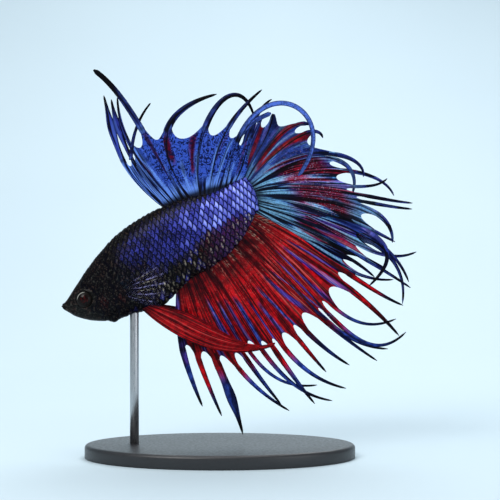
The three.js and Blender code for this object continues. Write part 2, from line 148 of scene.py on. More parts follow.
# ---------------------------------------------------------------- sizes of the fins
# Each ray: tip x z, headings in degrees as it leaves the root and arrives at the tip,
# share inside the web, sideways lean of the tip, width where it leaves the web; then the
# reach of both headings and the tip's width, where they aren't as in USUAL_RAY.
FINS = {
    "dorsal_fin": {"base": [(-12, 55), (-5.2, 57.1), (2.6, 60)], "offset": 0, "rays": [
        (-25.9, 80.4, 144, 104, 0.49, 0.7, 1.2, 0.46, 0.35),
        (-24.2, 79.5, 137, 100, 0.52, 0.4, 0.9),
        (-22.8, 80, 133, 91, 0.6, 0.1, 0.9),
        (-28, 85.9, 122, 146, 0.53, -0.9, 1.4, 0.4, 0.25, 1.1),
        (-0.7, 80.6, 131, 14, 0.55, -0.3, 1.7, 0.6, 0.56),
        (7.6, 75.6, 101, -74, 0.48, 0, 1.5, 0.8, 0.6),
        (9.3, 81.4, 84, 40, 0.6, -2, 1.2, 0.4, 0.4),
        (11.3, 76.2, 72, 20, 0.62, -2.1, 1.1, 0.45, 0.4, 1),
        (17.2, 62.2, 84, -128, 0.24, -5.2, 1.2, 1.9, 1.22, 0.9),
        (11.5, 79.4, 56, 30, 0.55, -1, 1, 0.4, 0.3),
    ]},
    "caudal_fin": {"base": [
        (4.6, 61.2), (6.6, 59.4), (7.2, 57.4), (6.6, 55.4),
    ], "offset": 0.1, "rays": [
        (6.9, 75.1, 97, 68, 0.95, 1.3, 0.8),
        (9.3, 75.6, 86, 62, 0.95, 1.2, 0.8),
        (11.7, 76.4, 74, 84, 0.95, 1, 0.8),
        (20.2, 74, 60, -14, 0.93, 0.7, 1, 0.4, 0.3),
        (22.9, 70.9, 52, -75, 0.8, 0.4, 1.1, 0.6, 0.22),
        (31.8, 62.2, 45, -100, 0.72, -0.6, 1.1, 0.62, 0.22),
        (29.3, 58.2, 39, -112, 0.7, 0.4, 1.1, 0.8, 0.4),
        (38.8, 58.1, 29, -68, 0.64, 1.4, 1, 0.4, 0.25),
        (37.1, 61.9, 25, 50, 0.74, -0.6, 0.8, 0.35, 0.2),
        (42.7, 56.4, 17, -5, 0.74, -0.7, 0.9, 0.35, 0.3),
        (42.7, 55.1, 10, -5, 0.76, 0.2, 0.9, 0.35, 0.3),
        (38.4, 47.6, 4, -95, 0.8, 0.9, 1.2, 0.4, 0.3),
        (38.9, 47.8, -2, -28, 0.84, 0, 0.9),
        (43.7, 45.6, -7, 25, 0.75, 0.5, 0.9, 0.4, 0.3),
        (32.9, 38, -11, -138, 0.64, -1.6, 1.3, 0.7, 0.5),
        (41.9, 38.9, -15, -70, 0.7, -0.5, 1),
        (40.7, 34, -18, -98, 0.64, 1.4, 1, 0.4, 0.4),
        (42.4, 37.6, -22, -34, 0.72, 0.5, 0.9),
        (36.7, 42, -25, -28, 0.8, 1.3, 0.8),
        (38.7, 39.4, -28, 5, 0.76, 1.6, 0.8, 0.4, 0.3),
        (34.4, 40, -32, -42, 0.84, 0.7, 0.8),
    ]},
    "anal_fin": {"base": [
        (-9.4, 39.2), (-6.6, 41.6), (-3, 44.2), (1.2, 47.9), (4.8, 51.3), (6.5, 53.9),
    ], "offset": -0.1, "rays": [
        (-3.9, 11.2, -97, -67, 0.54, 0.5, 1.5),
        (0.4, 9.1, -85, -66, 0.58, 0.2, 1.3),
        (5.1, 5.1, -77, -76, 0.57, -0.3, 1.8),
        (15.4, 10.3, -69, -30, 0.63, 0.1, 1.1, 0.45, 0.35),
        (13.6, 11.6, -64, -50, 0.66, 1, 1.2),
        (21.6, 16, -60, 8, 0.56, 0.3, 0.9, 0.5, 0.35),
        (24.9, 12.6, -56, -8, 0.56, -0.6, 1.1, 0.45, 0.3),
        (21, 12, -52, -50, 0.66, -1.5, 1.3),
        (28, 15.3, -50, -13, 0.62, -0.4, 1.2, 0.45, 0.35),
        (23.6, 18.9, -48, -48, 0.76, 0.1, 1.1),
        (28.8, 20.4, -45, -30, 0.7, 0.4, 1.2),
        (34.9, 21.4, -43, -33, 0.62, 0, 1.1),
        (37.2, 24.1, -41, -2, 0.64, -0.9, 1, 0.45, 0.3),
        (41.1, 27.9, -39, 45, 0.62, -1.8, 1.1, 0.5, 0.35),
        (38.9, 30.8, -37, 24, 0.64, -1.8, 0.9, 0.5, 0.35),
        (39.7, 27, -34, -50, 0.66, -0.8, 1.4, 0.35, 0.3),
        (40.4, 33.8, -24, -22, 0.66, -2.4, 1.2, 0.4, 0.25),
    ]},
    "pelvic_fin_left": {"base": [
        (-17.3, 33), (-16.2, 33.4), (-15.2, 33.9),
    ], "offset": -1.5, "rays": [
        (12.2, 25.4, -44, 24, 0.97, -1.6, 0.7, 0.25, 0.42),
        (12.2, 25.6, -34, 24, 0.97, -1.7, 0.7, 0.3, 0.4),
        (11, 25, -28, 10, 0.97, -1.8, 0.7),
        (9, 24.8, -16, -5, 0.97, -1.9, 0.7),
        (6, 25.1, -4, -22, 0.97, -2, 0.7, 0.45, 0.35),
    ]},
    "pelvic_fin_right": {"base": [
        (-17.3, 33), (-16.2, 33.4), (-15.2, 33.9),
    ], "offset": 1.5, "rays": [
        (9.2, 27.4, -45, 18, 0.97, 1.9, 0.7, 0.25, 0.45),
        (9.2, 27.6, -34, 18, 0.97, 2, 0.7, 0.3, 0.4),
        (8, 27.2, -24, 6, 0.97, 2.1, 0.7),
        (6, 27.1, -12, -8, 0.97, 2.2, 0.7),
        (3, 28, -1, -20, 0.97, 2.3, 0.7, 0.45, 0.35),
    ]},
    "pectoral_fin_left": {"base": [
        (-20.6, 36), (-20.4, 37.4), (-19.9, 38.7),
    ], "offset": -3.9, "rays": [
        (-12.8, 33.8, -34, -6, 0.97, -1.5, 0.6),
        (-10.9, 36.2, -14, 0, 0.97, -1.9, 0.6),
        (-10.4, 39.2, 4, 10, 0.97, -2.1, 0.6),
        (-11.2, 42, 24, 22, 0.97, -1.9, 0.6),
        (-13.6, 43.6, 44, 36, 0.97, -1.5, 0.6),
    ]},
}
# A loose ray over the front of the dorsal fin, which the web doesn't reach.
STREAMER = {"root": (-19.8, 66), "ray": (-15.4, 78.6, 88, 50, 0, -0.4, 0.9)}
# Each fin's streaks, by tint: ray place, its shift from start to end, half width in ray
# spacings, from and to as shares of the web, strength; and for some a stride that repeats
# it, up to a last ray place.
STREAKS = {
    "dorsal_fin": {
        "red": [
            (4.15, -0.15, 0.09, 0.6, 1, 1), (4.78, 0, 0.08, 0.42, 1, 1),
            (3, 0, 0.07, 0.4, 0.9, 0.75), (2.1, -0.1, 0.07, 0.5, 0.9, 0.75),
            (6.1, 0.1, 0.06, 0.5, 0.9, 0.6), (8.75, 0, 0.1, 0.3, 1, 0.6),
        ],
        "pale": [
            (0.75, -0.3, 0.1, 0.12, 0.95, 0.6, 0.55, 2.4), (2.3, 0, 0.12, 0.1, 0.5, 0.6),
            (3.3, 0, 0.1, 0.1, 0.5, 0.6), (5.85, 0.1, 0.07, 0.1, 0.75, 0.7),
            (6.5, 0.15, 0.1, 0.1, 0.85, 0.7), (4.4, 0, 0.07, 0.1, 0.6, 0.7, 0.55, 5),
            (7.2, 0.3, 0.1, 0.02, 0.5, 0.6, 0.4, 8.1),
        ],
    },
    "caudal_fin": {
        "red": [
            (0.9, -0.25, 0.14, 0.25, 1, 0.95), (1.6, -0.3, 0.17, 0.25, 1, 0.95),
            (3.25, -0.45, 0.22, 0.26, 1.05, 1), (3.6, 0.6, 0.2, 0.26, 1.1, 1),
            (4.95, 0.2, 0.15, 0.25, 0.75, 0.95), (5.6, 0.9, 0.2, 0.34, 0.75, 0.9),
            (6.9, 0.4, 0.2, 0.42, 1.3, 0.95), (8.7, 0.1, 0.2, 0.4, 1.4, 0.95),
            (9.5, 0.3, 0.16, 0.4, 1.4, 0.9), (10.2, 0.9, 0.2, 0.36, 0.8, 0.95),
            (11.3, 0.6, 0.16, 0.42, 0.8, 0.9), (14.6, 0.1, 0.2, 0.38, 1.3, 0.95, 1, 18.8),
            (16.2, 0.5, 0.12, 0.45, 1.1, 0.9), (18.1, 0.4, 0.14, 0.5, 1.1, 0.9),
        ],
        "blue": [
            (4.55, 0.1, 0.3, 0.52, 1, 0.9), (2.1, 0.1, 0.3, 0.6, 1, 0.8),
            (6.45, 0.2, 0.22, 0.7, 1, 1),
        ],
        "cyan": [
            (7.35, 0.1, 0.15, 0.62, 1, 1), (7.85, 0.05, 0.12, 0.68, 1, 1),
            (8.35, 0.2, 0.12, 0.7, 1, 0.8), (10.8, 0.6, 0.14, 0.48, 0.78, 1),
            (11.7, 0.3, 0.13, 0.44, 0.72, 1), (13.2, 1.5, 0.14, 0.5, 0.8, 0.8),
            (15.2, 0.3, 0.17, 0.1, 0.62, 1, 1, 19.4), (14.7, 0.1, 0.1, 0.08, 0.4, 1, 1, 19.9),
        ],
        "violet": [(13.4, 0.1, 0.14, 0.5, 1.9, 0.6, 1, 20)],
        "pale": [
            (14.95, 0.2, 0.07, 0.3, 1, 0.7, 1, 19.9), (14.7, 0.1, 0.14, 0.05, 0.3, 0.8, 1, 18.8),
            (3.42, 0.2, 0.07, 0.45, 1, 0.6), (16.9, 1, 0.09, 0.45, 1, 0.6),
        ],
        "dark": [
            (4.83, 0.15, 0.06, 0.5, 1.05, 0.9), (3.05, -0.5, 0.05, 0.4, 0.95, 0.8),
            (3.85, 0.6, 0.05, 0.4, 0.95, 0.8), (8.05, 0.1, 0.06, 0.45, 1.05, 0.9),
            (7.1, 0.2, 0.05, 0.45, 1.05, 0.9), (9.1, 0.1, 0.06, 0.4, 1, 0.9, 1, 13.4),
            (13.9, 0.3, 0.09, 0.25, 1, 0.9, 1, 19.2), (14.3, 0, 0.3, 0, 0.22, 0.9, 2, 18.4),
        ],
    },
    "anal_fin": {
        "violet": [
            (0, 0, 0.45, 0.2, 1.2, 0.9), (1.5, 0.1, 0.15, 0.5, 1.05, 0.7, 1, 5.6),
            (7.6, 0.1, 0.12, 0.55, 1.05, 0.85), (10.3, 0.5, 0.12, 0.45, 0.85, 0.85),
            (12.6, 0.4, 0.12, 0.4, 0.8, 0.85), (13.6, 0.5, 0.1, 0.38, 0.95, 0.95),
            (14.5, 0.35, 0.11, 0.42, 1, 1), (15.3, 0.4, 0.1, 0.4, 0.85, 0.9),
        ],
        "blue": [
            (3.6, 0.2, 0.17, 0.38, 1.1, 1), (2.4, 0.2, 0.15, 0.55, 1.1, 0.9),
            (4.75, 0.1, 0.15, 0.48, 1.1, 0.95), (6.5, -0.3, 0.17, 0.5, 1.1, 1),
            (9, 1, 0.13, 0.5, 1.1, 1), (8.3, 0.3, 0.12, 0.6, 1.05, 0.9),
            (11, 2, 0.14, 0.48, 0.95, 1), (11.6, 0.8, 0.15, 0.68, 1.15, 0.95),
        ],
        "pale": [(10.2, 0.2, 0.06, 0.35, 0.9, 0.6, 0.55, 15.8)],
    },
    "pelvic": {
        "pale": [(0.6, 0, 0.09, 0.1, 0.75, 0.3, 0.9, 3.6)],
    },
    "pectoral": {
        "pale": [(0.35, 0, 0.07, 0.15, 0.85, 0.9, 0.8, 3.9)],
        "tan": [(0.7, 0, 0.06, 0.3, 0.75, 0.9, 0.9, 3.9)],
    },
}
USUAL_RAY = (0.35, 0.35, 0.36)
# The web: its mesh between two rays, half thickness, what ribs and root add, its thinning
# towards the edge, and its ripple.
WEB = {"columns": 16, "rows": 90, "half": 0.1, "rib": 0.05, "root": 0.55, "thinner": 0.55,
       "ripple": 0.22, "lumps": 0.1}
RIBS = {0: 1.2, 1 / 3: 1, 2 / 3: 1, 1: 1.2}  # heights of the ribs, by place between two rays
RIB_HALF = 0.06
SCALLOP = 0.13  # how far the web's edge dips between two rays
FLARE = 0.15  # how far it runs up along each ray
HEM_COLUMNS = 4
# A ray: its mesh, points along its curve, loss of thickness from root to tip, thickness
# at its rims as a share, and the half width of its raised middle.
RAY = {"rows": 96, "sides": 12, "points": 401, "thinner": 0.62, "rim": 0.3, "middle": 0.45}
RAY_SHIFT = 8  # added to a ray's place in the materials, so that it stays above 0
OWN_PLACE = 0.17  # how far beside its place a ray is coloured, off the web's dark line
# Rays with a swelling past the web: its share of the length, its length, its extra width.
SWELLS = {
    "dorsal_fin": {0: (0.76, 0.12, 0.9), 1: (0.78, 0.12, 0.9)},
    "anal_fin": {2: (0.78, 0.09, 0.9)},
}
# Rays of the anal fin whose free ends stay red, up to what distance: the web's edge is 1.
RED_ENDS = {1: 1.6, 7: 1.35, 9: 1.75, 11: 1.3, 15: 1.8, 16: 1.7}
TINTS = ("red", "cyan", "violet", "blue", "pale", "tan", "dark")
# The fins to make: markings, material, slot, how thick a ray is, hems at the first and last ray.
FIN_SKINS = {
    "dorsal_fin": ("dorsal_fin", "speckled_fin", "blue_fin", 0.2, (0, -1.3)),
    "caudal_fin": ("caudal_fin", "streaked_fin", "blue_fin", 0.2, (0.8, -0.9)),
    "anal_fin": ("anal_fin", "scarlet_fin", "red_fin", 0.2, (0, 0.9)),
    "pelvic_fin_left": ("pelvic", "scarlet_fin", "red_fin", 0.26, (0, 0)),
    "pelvic_fin_right": ("pelvic", "scarlet_fin", "red_fin", 0.26, (0, 0)),
    "pectoral_fin_left": ("pectoral", "clear_fin", "clear_fin", 0.14, (0, 0)),
    "pectoral_fin_right": ("pectoral", "clear_fin", "clear_fin", 0.14, (0, 0)),
}


# ---------------------------------------------------------------- numbers
def step(value, low, high):
    """0 below low and 1 above high, smoothly between them; low may be the greater."""
    t = np.clip((np.asarray(value, float) - low) / (high - low), 0, 1)
    return t * t * (3 - 2 * t)


def band(value, low, full, last, high):
    """1 from full to last, and 0 below low and above high."""
    return step(value, low, full) * step(value, high, last)


def hump(distance, width):
    return np.exp(-((np.asarray(distance, float) / width) ** 2))


def noise(points, size, seed=0):
    """Smooth noise from 0 to 1 at points, with lumps of one size."""
    place = points / size + 17.3 * seed
    cell = np.floor(place)
    part = place - cell
    part = part * part * (3 - 2 * part)
    total = np.zeros(place.shape[:-1])
    for corner in np.ndindex(2, 2, 2):
        spot = np.sin((cell + corner) @ np.array([127.1, 311.7, 74.7])) * 43758.5453
        weight = np.prod(np.where(np.array(corner) == 1, part, 1 - part), axis=-1)
        total += (spot - np.floor(spot)) * weight
    return total


def spline(points, share):
    """A Catmull-Rom curve through points, at shares of its run."""
    points = np.asarray(points, float)
    last = len(points) - 1
    place = np.clip(np.asarray(share, float), 0, 1) * last
    i = np.minimum(place.astype(int), last - 1)
    t = (place - i)[..., None]
    a, b, c, d = (points[np.clip(i + k, 0, last)] for k in (-1, 0, 1, 2))
    start, end = (c - a) / 2, (d - b) / 2
    bend = (2 * b - 2 * c + start + end) * t**3
    return bend + (-3 * b + 3 * c - 2 * start - end) * t * t + start * t + b


def unit(degrees):
    return np.array([cos(radians(degrees)), sin(radians(degrees))])


def direction(vectors):
    """The same directions at a length of 1."""
    return vectors / np.maximum(np.linalg.norm(vectors, axis=-1, keepdims=True), 1e-9)


def measure(lines):
    """How far along its line each point stands, from 0 at the first."""
    hops = np.linalg.norm(np.diff(lines, axis=-2), axis=-1)
    return np.concatenate([0 * hops[..., :1], np.cumsum(hops, axis=-1)], axis=-1)


def join(*parts):
    """Numbers or arrays, spread to one shape, as the last axis of one array."""
    return np.stack(np.broadcast_arrays(*parts), -1)


def turns(sides):
    """Even turns of a full circle, as a row, without the last one, which is the first again."""
    return np.linspace(0, 2 * pi, sides + 1)[None, :-1]


# ---------------------------------------------------------------- mesh making
class Shape:
    """Points, faces and what each point carries, gathered into one mesh."""

    def __init__(self):
        self.points = []
        self.faces = []
        self.maps = []
        self.data = {}
        self.count = 0

    def add(self, points, **data):
        """Adds points, with three numbers of each kind of data, and returns their numbers."""
        shape = points.shape[:-1]
        numbers = self.count + np.arange(int(np.prod(shape))).reshape(shape)
        self.points.append(points.reshape(-1, 3))
        self.count += numbers.size
        for name, values in data.items():
            full = np.broadcast_to(values, shape + (3,))
            self.data.setdefault(name, []).append(full.reshape(-1, 3))
        return numbers

    def sheet(self, numbers, places=None):
        """Four-cornered faces between neighbours in one or more grids of point numbers."""
        if places is None:
            places = np.zeros(numbers.shape + (2,))

        def corners(grid):
            low, high = grid[..., :-1, :, :], grid[..., 1:, :, :]
            four = (low[..., :-1, :], high[..., :-1, :], high[..., 1:, :], low[..., 1:, :])
            return np.stack(four, -2).reshape(-1, 4, grid.shape[-1])
        self.faces.append(corners(numbers[..., None])[..., 0])
        self.maps.append(corners(places))

    def barrel(self, rings, poles, data, at_poles, places=None, tips=None):
        """A closed form: rings of points from end to end, and one point at each end."""
        numbers = self.add(rings, **data)
        loops = np.concatenate([numbers, numbers[:, :1]], axis=1)
        if places is None:
            places = np.zeros(loops.shape + (2,))
        self.sheet(loops, places)
        for end, row in enumerate((0, -1)):
            pole = self.add(poles[end][None], **at_poles[end])
            ring, edge = loops[row], places[row]
            tip = edge.mean(0) if tips is None else tips[end]
            tip = np.broadcast_to(tip, edge[1:].shape)
            self.faces.append(np.stack([np.full(len(tip), pole[0]), ring[:-1], ring[1:]], 1))
            self.maps.append(np.stack([tip, edge[:-1], edge[1:]], 1))

    def build(self, name, material, mapped=False):
        """The mesh as an object in the scene, with its closed parts turned right side out."""
        points = np.concatenate(self.points) * MM
        corners = np.concatenate([f.ravel() for f in self.faces]).astype(np.int32)
        sizes = np.concatenate([np.full(len(f), f.shape[1]) for f in self.faces])
        starts = np.concatenate([[0], np.cumsum(sizes)[:-1]]).astype(np.int32)
        mesh = bpy.data.meshes.new(name)
        mesh.vertices.add(len(points))
        mesh.vertices.foreach_set("co", points.astype(np.float32).ravel())
        mesh.loops.add(len(corners))
        mesh.loops.foreach_set("vertex_index", corners)
        mesh.polygons.add(len(sizes))
        mesh.polygons.foreach_set("loop_start", starts)
        mesh.polygons.foreach_set("use_smooth", np.ones(len(sizes), bool))
        for key, parts in self.data.items():
            layer = mesh.attributes.new(key, "FLOAT_VECTOR", "POINT")
            layer.data.foreach_set("vector", np.concatenate(parts).astype(np.float32).ravel())
        if mapped:
            layer = mesh.uv_layers.new(name="OFBake")
            places = np.concatenate([m.reshape(-1, 2) for m in self.maps])
            layer.data.foreach_set("uv", places.astype(np.float32).ravel())
        mesh.update(calc_edges=True)
        mender = bmesh.new()
        mender.from_mesh(mesh)
        bmesh.ops.recalc_face_normals(mender, faces=mender.faces)
        mender.to_mesh(mesh)
        mender.free()
        mesh.materials.append(material)
        return link(name, mesh)


def keep(made, slot, *nodes):
    """A piece rides on the root body and replaces the nodes it dresses, which are hidden."""
    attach(made, "root")
    if nodes:
        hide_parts(*nodes)


# ---------------------------------------------------------------- colours and node calls
def tint(red, green, blue):
    """A colour as seen on screen, 0 to 255, as the light it stands for."""
    parts = np.array([red, green, blue]) / 255
    linear = np.where(parts <= 0.04045, parts / 12.92, ((parts + 0.055) / 1.055) ** 2.4)
    return (*linear.tolist(), 1.0)


SHADES = {
    "red": (218, 8, 24), "deep_red": (150, 2, 16), "wine": (196, 13, 35),
    "wine_deep": (134, 5, 29), "plum": (98, 10, 44), "plum_deep": (50, 2, 28),
    "cyan": (78, 160, 230), "cyan_deep": (26, 80, 146), "ice": (148, 212, 255),
    "violet": (70, 78, 204), "violet_light": (158, 170, 255), "purple": (78, 50, 168),
    "lilac": (152, 140, 246), "blue": (60, 94, 204), "blue_deep": (14, 32, 116),
    "navy": (8, 16, 62), "pale": (114, 158, 246), "rose": (240, 110, 104),
    "dusty": (206, 170, 214), "tan": (176, 166, 146), "dark": (5, 4, 12), "black": (4, 4, 6),
    "moss": (52, 52, 48), "umber": (58, 45, 41), "smoke": (70, 66, 110), "glass": (150, 146, 200),
    "iris": (6, 5, 6), "iris_fleck": (22, 15, 12), "pupil": (9, 3, 3), "pupil_fleck": (52, 9, 8),
    "eye_ring": (4, 4, 5), "eye_arc": (168, 168, 160), "satin": (30, 31, 34),
    "satin_grain": (42, 43, 46), "steel": (150, 152, 155), "steel_light": (200, 202, 205),
    "paper": (184, 201, 210), "paper_light": (193, 209, 217),
}
COLOURS = {name: tint(*shade) for name, shade in SHADES.items()}


class Wire:
    """A node's output, with the sums that the materials do on it."""

    def __init__(self, paint, socket):
        self.paint, self.socket = paint, socket

    def __add__(self, other):
        return self.paint.math("ADD", self, other)

    def __sub__(self, other):
        return self.paint.math("SUBTRACT", self, other)

    def __rsub__(self, other):
        return self.paint.math("SUBTRACT", other, self)

    def __mul__(self, other):
        return self.paint.math("MULTIPLY", self, other)

    def __abs__(self):
        return self.paint.math("ABSOLUTE", self)

    def ramp(self, low, high, start=0.0, end=1.0):
        """Runs smoothly from start to end while this runs from low to high."""
        places = {"Value": self, "From Min": low, "From Max": high, "To Min": start, "To Max": end}
        return self.paint.put("MapRange", places, interpolation_type="SMOOTHSTEP")


class Paint:
    """Short calls that lay out a material's nodes."""

    def __init__(self, name):
        self.material = bpy.data.materials.new(name)
        self.material.use_nodes = True
        self.tree = self.material.node_tree
        self.tree.nodes.clear()

    def put(self, kind, values=(), out=0, **settings):
        """A node, its settings and what goes into it; colours may go in by name."""
        node = self.tree.nodes.new("ShaderNode" + kind)
        for key, value in settings.items():
            setattr(node, key, value)
        for key, value in dict(values).items():
            if isinstance(value, Wire):
                self.tree.links.new(value.socket, node.inputs[key])
            else:
                node.inputs[key].default_value = COLOURS.get(value, value)
        return Wire(self, node.outputs[out])

    def math(self, operation, *values):
        return self.put("Math", dict(enumerate(values)), operation=operation)

    def data(self, name):
        """The three numbers of one kind of data that the mesh carries."""
        split = self.put("SeparateXYZ", {0: self.put("Attribute", out=1, attribute_name=name)})
        return [Wire(self, socket) for socket in split.socket.node.outputs]

    def place(self, scale=1 / MM):
        """The point on the object, in millimetres unless it is scaled otherwise."""
        spot = self.put("TexCoord", out=3)
        return self.put("VectorMath", {0: spot, 1: (scale,) * 3}, operation="MULTIPLY")

    def noise(self, vector, scale, detail=2.0, twist=0.0):
        """Smooth noise at a place, or at three numbers that stand for one."""
        if isinstance(vector, tuple):
            vector = self.put("CombineXYZ", dict(enumerate(vector)))
        places = {"Vector": vector, "Scale": scale, "Detail": detail, "Distortion": twist}
        return self.put("TexNoise", places)

    def mix(self, share, first, second):
        return self.put("Mix", {0: share, 6: first, 7: second}, 2, data_type="RGBA")

    def mix_value(self, share, first, second):
        return self.put("Mix", {0: share, 2: first, 3: second}, 0, data_type="FLOAT")

    def bump(self, height, strength, distance=0.05):
        places = {"Height": height, "Strength": strength, "Distance": distance * MM}
        return self.put("Bump", places)

    def surface(self, colour, roughness, level=0.5, coat=0.0, coat_roughness=0.03, **rest):
        """The usual shader; level is how strongly it mirrors, and coat a clear wet layer."""
        return self.put("BsdfPrincipled", {
            "Base Color": colour, "Roughness": roughness, "Specular IOR Level": level,
            "Coat Weight": coat, "Coat Roughness": coat_roughness, **rest})

    def finish(self, shader):
        end = self.tree.nodes.new("ShaderNodeOutputMaterial")
        self.tree.links.new(shader.socket, end.inputs[0])
        return self.material


# ---------------------------------------------------------------- materials
def pigment(paint, base, reds=("wine_deep", "wine"), purple="violet", streak="pale", spark=1.0,
            glitter=1.0):
    """The markings that skin, scales and fins share, laid over a base colour in order."""
    red, cyan, violet = paint.data("paint")
    blue, pale, tan = paint.data("tone")
    vary = paint.noise(paint.place(), 0.9, 3).ramp(0.35, 0.65)
    colour = paint.mix(blue, base, paint.mix(vary, "blue_deep", "blue"))
    colour = paint.mix(cyan, colour, paint.mix(vary, "cyan_deep", "cyan"))
    colour = paint.mix(red, colour, paint.mix(vary, *reds))
    colour = paint.mix(violet * glitter, colour, purple)
    colour = paint.mix(tan * spark, colour, "tan")
    return paint.mix(pale, colour, streak)


def hide(paint):
    """The near-black ground of head and belly, faintly mottled green and brown."""
    spot = paint.place()
    mottle = paint.noise(spot, 2.6, 5, 0.7).ramp(0.47, 0.68)
    warm = paint.noise(spot, 0.7, 3).ramp(0.42, 0.6)
    return paint.mix(mottle, "black", paint.mix(warm, "moss", "umber"))


def skin_material():
    """Wet near-black skin with the body's markings."""
    paint = Paint("skin")
    spot = paint.place()
    grain = paint.noise(spot, 5.5, 3)
    pores = paint.put("TexVoronoi", {"Vector": spot, "Scale": 3.4})
    return paint.finish(paint.surface(
        pigment(paint, hide(paint)), grain.ramp(0.3, 0.7, 0.34, 0.56), 0.07, 0.05, 0.15,
        Normal=paint.bump(grain * 0.6 + pores, 0.5)))


def scale_edge(off):
    """How far back a scale's rounded edge stands at a height off its middle."""
    paint = off.paint
    flat = paint.math("POWER", paint.math("DIVIDE", off, 1.03), 2.0)
    return paint.math("SQRT", paint.math("MAXIMUM", 1 - flat, 0.0)) * SCALE["behind"]


def scale_material():
    """Overlapping scales: each shows a bright field inside a thin dark outline."""
    paint = Paint("scales")
    spot = paint.place()
    along, across, lot = paint.data("lie")
    violet = paint.data("paint")[2]
    off = abs(across)
    behind = scale_edge(off) - along
    ahead = along - (scale_edge(1 - off) + SCALE["ahead"])
    inner = behind.ramp(0.08, 0.26) * ahead.ramp(-0.04, 0.17)
    spark = abs(along - 0.42).ramp(0.2, 0.06) * off.ramp(0.7, 0.3)
    spark = spark * paint.noise(spot, 2.4, 2).ramp(0.4, 0.6)
    flecks = paint.noise(spot, 4.2, 3, 0.5).ramp(0.42, 0.58, 0.3, 1.7)
    glitter = paint.mix_value(violet.ramp(0.25, 0.8), flecks, 1.0)
    colour = pigment(paint, hide(paint), spark=spark, glitter=glitter)
    # A painted highlight: a lighter violet band across each bright scale, on the same side of
    # every one.
    slope = across * 0.5 + along
    painted_highlight = slope.ramp(-0.15, 0.5) * slope.ramp(1.0, 0.55) * lot.ramp(0.0, 1.0, 0.5, 1.0)
    colour = paint.mix(painted_highlight * violet.ramp(0.45, 1.0), colour, "violet_light")
    colour = paint.mix(inner, paint.mix(violet, "dark", "navy"), colour)
    return paint.finish(paint.surface(
        colour, lot.ramp(0.0, 1.0, 0.32, 0.48), 0.04, 0.03, 0.12,
        Metallic=inner * (violet * 0.25),
        Normal=paint.bump(paint.math("SINE", across * 34.0), 0.05, 0.03)))


# What the three fin materials don't share: colours, strengths of bright and dark lines,
# how close broad and narrow lines stand, dark squiggles, and dark grit.
FIN_LOOKS = {
    "speckled_fin": {
        "reds": ("plum_deep", "plum"), "purple": "violet", "streak": "pale",
        "line": "pale", "second_line": "pale", "dusty": "pale",
        "bright": 0.95, "gloom": 0.95, "pitch": (3.0, 9.5), "worms": 0.95, "grit": 0,
    },
    "streaked_fin": {
        "reds": ("wine_deep", "wine"), "purple": "violet", "streak": "ice",
        "line": "ice", "second_line": "lilac", "dusty": "dusty",
        "bright": 0.95, "gloom": 0.95, "pitch": (1.3, 3.7), "worms": 0, "grit": 0.3,
    },
    "scarlet_fin": {
        "reds": ("deep_red", "red"), "purple": "purple", "streak": "rose",
        "line": "pale", "second_line": "lilac", "dusty": "rose",
        "bright": 0.35, "gloom": 0.75, "pitch": (1.84, 5.75), "worms": 0, "grit": 0,
    },
}


def fin_material(name):
    """Thin web between rays: bright and dark lines along the rays, or dark squiggles."""
    look = FIN_LOOKS[name]
    paint = Paint(name)
    spot = paint.place()
    ray, out, _ = paint.data("lie")
    dark, lit, figure = paint.data("cast")
    red = paint.data("paint")[0]
    blue = paint.data("tone")[0]
    free = 1 - figure
    streaks = paint.noise((ray * 6.0, out, 3.0), 1.0, 3)
    even = paint.mix_value(figure, streaks, 0.56)
    base = paint.mix(even.ramp(0.34, 0.6), "blue_deep", "blue")
    colour = pigment(paint, base, look["reds"], look["purple"], look["streak"])

    broad = paint.noise((ray * look["pitch"][0], out, 4.0), 1.0, 1)
    narrow = paint.noise((ray * look["pitch"][1], out * 1.5, 6.0), 1.0, 2)
    band = paint.mix_value(out.ramp(0.15, 0.5), broad, narrow)
    bright = (band + out.ramp(0.2, 0.5, 0.05, 0.0)).ramp(0.525, 0.565, 0.0, look["bright"])
    bright = bright * free * out.ramp(1.1, 0.95, 0.25, 1.0)
    bright = bright * red.ramp(0.3, 0.8, 1.0, 0.16) * blue.ramp(0.2, 0.8, 1.0, 0.5)
    second = paint.noise((ray * 1.7, out, 9.0), 1.0, 1).ramp(0.45, 0.55) * out.ramp(0.25, 0.45)
    line = paint.mix(second, look["line"], look["second_line"])
    colour = paint.mix(bright, colour, paint.mix(red, line, look["dusty"]))
    glint = paint.noise(spot, 3.0, 2).ramp(0.58, 0.65, 0.0, 0.95)
    colour = paint.mix(glint * lit, colour, look["dusty"])
    if look["worms"]:
        curls = abs(paint.noise(spot, 0.85, 0.0, 1.7) - 0.5).ramp(0.06, 0.1)
        gaps = paint.noise(spot, 1.3, 1).ramp(0.64, 0.7)
        curls = 1 - paint.math("MAXIMUM", curls, gaps)
        colour = paint.mix(curls * (figure * look["worms"]), colour, "navy")

    # From here, shade is 1 where the web is clean and 0 where it is dark.
    fibres = paint.noise((ray * 15.0, out, 0.0), 1.0, 3)
    shade = paint.mix_value(figure, fibres.ramp(0.36, 0.5, 0.2, 1.0), 1.0)
    off_ray = paint.math("PINGPONG", ray, 0.5) - figure * 0.02
    shade = shade * off_ray.ramp(0.018, 0.05, 0.02, 1.0)
    gloom = band.ramp(0.492, 0.464, 0.0, look["gloom"]) * free
    shade = shade * (1 - gloom) * (1 - dark)
    if look["grit"]:
        shade = shade * paint.noise(spot, 2.2, 2).ramp(0.43, 0.52, 1 - look["grit"], 1.0)
    colour = paint.mix(shade, "dark", colour)
    normal = paint.bump(paint.math("SINE", ray * 75.0) + fibres, 0.22)
    rough = streaks.ramp(0.3, 0.7, 0.36, 0.55)
    solid = paint.surface(colour, rough, 0.07, 0.02, 0.25, Normal=normal)
    through = paint.put("BsdfTranslucent", {"Color": colour, "Normal": normal})
    return paint.finish(paint.put("MixShader", {0: 0.25, 1: solid, 2: through}))


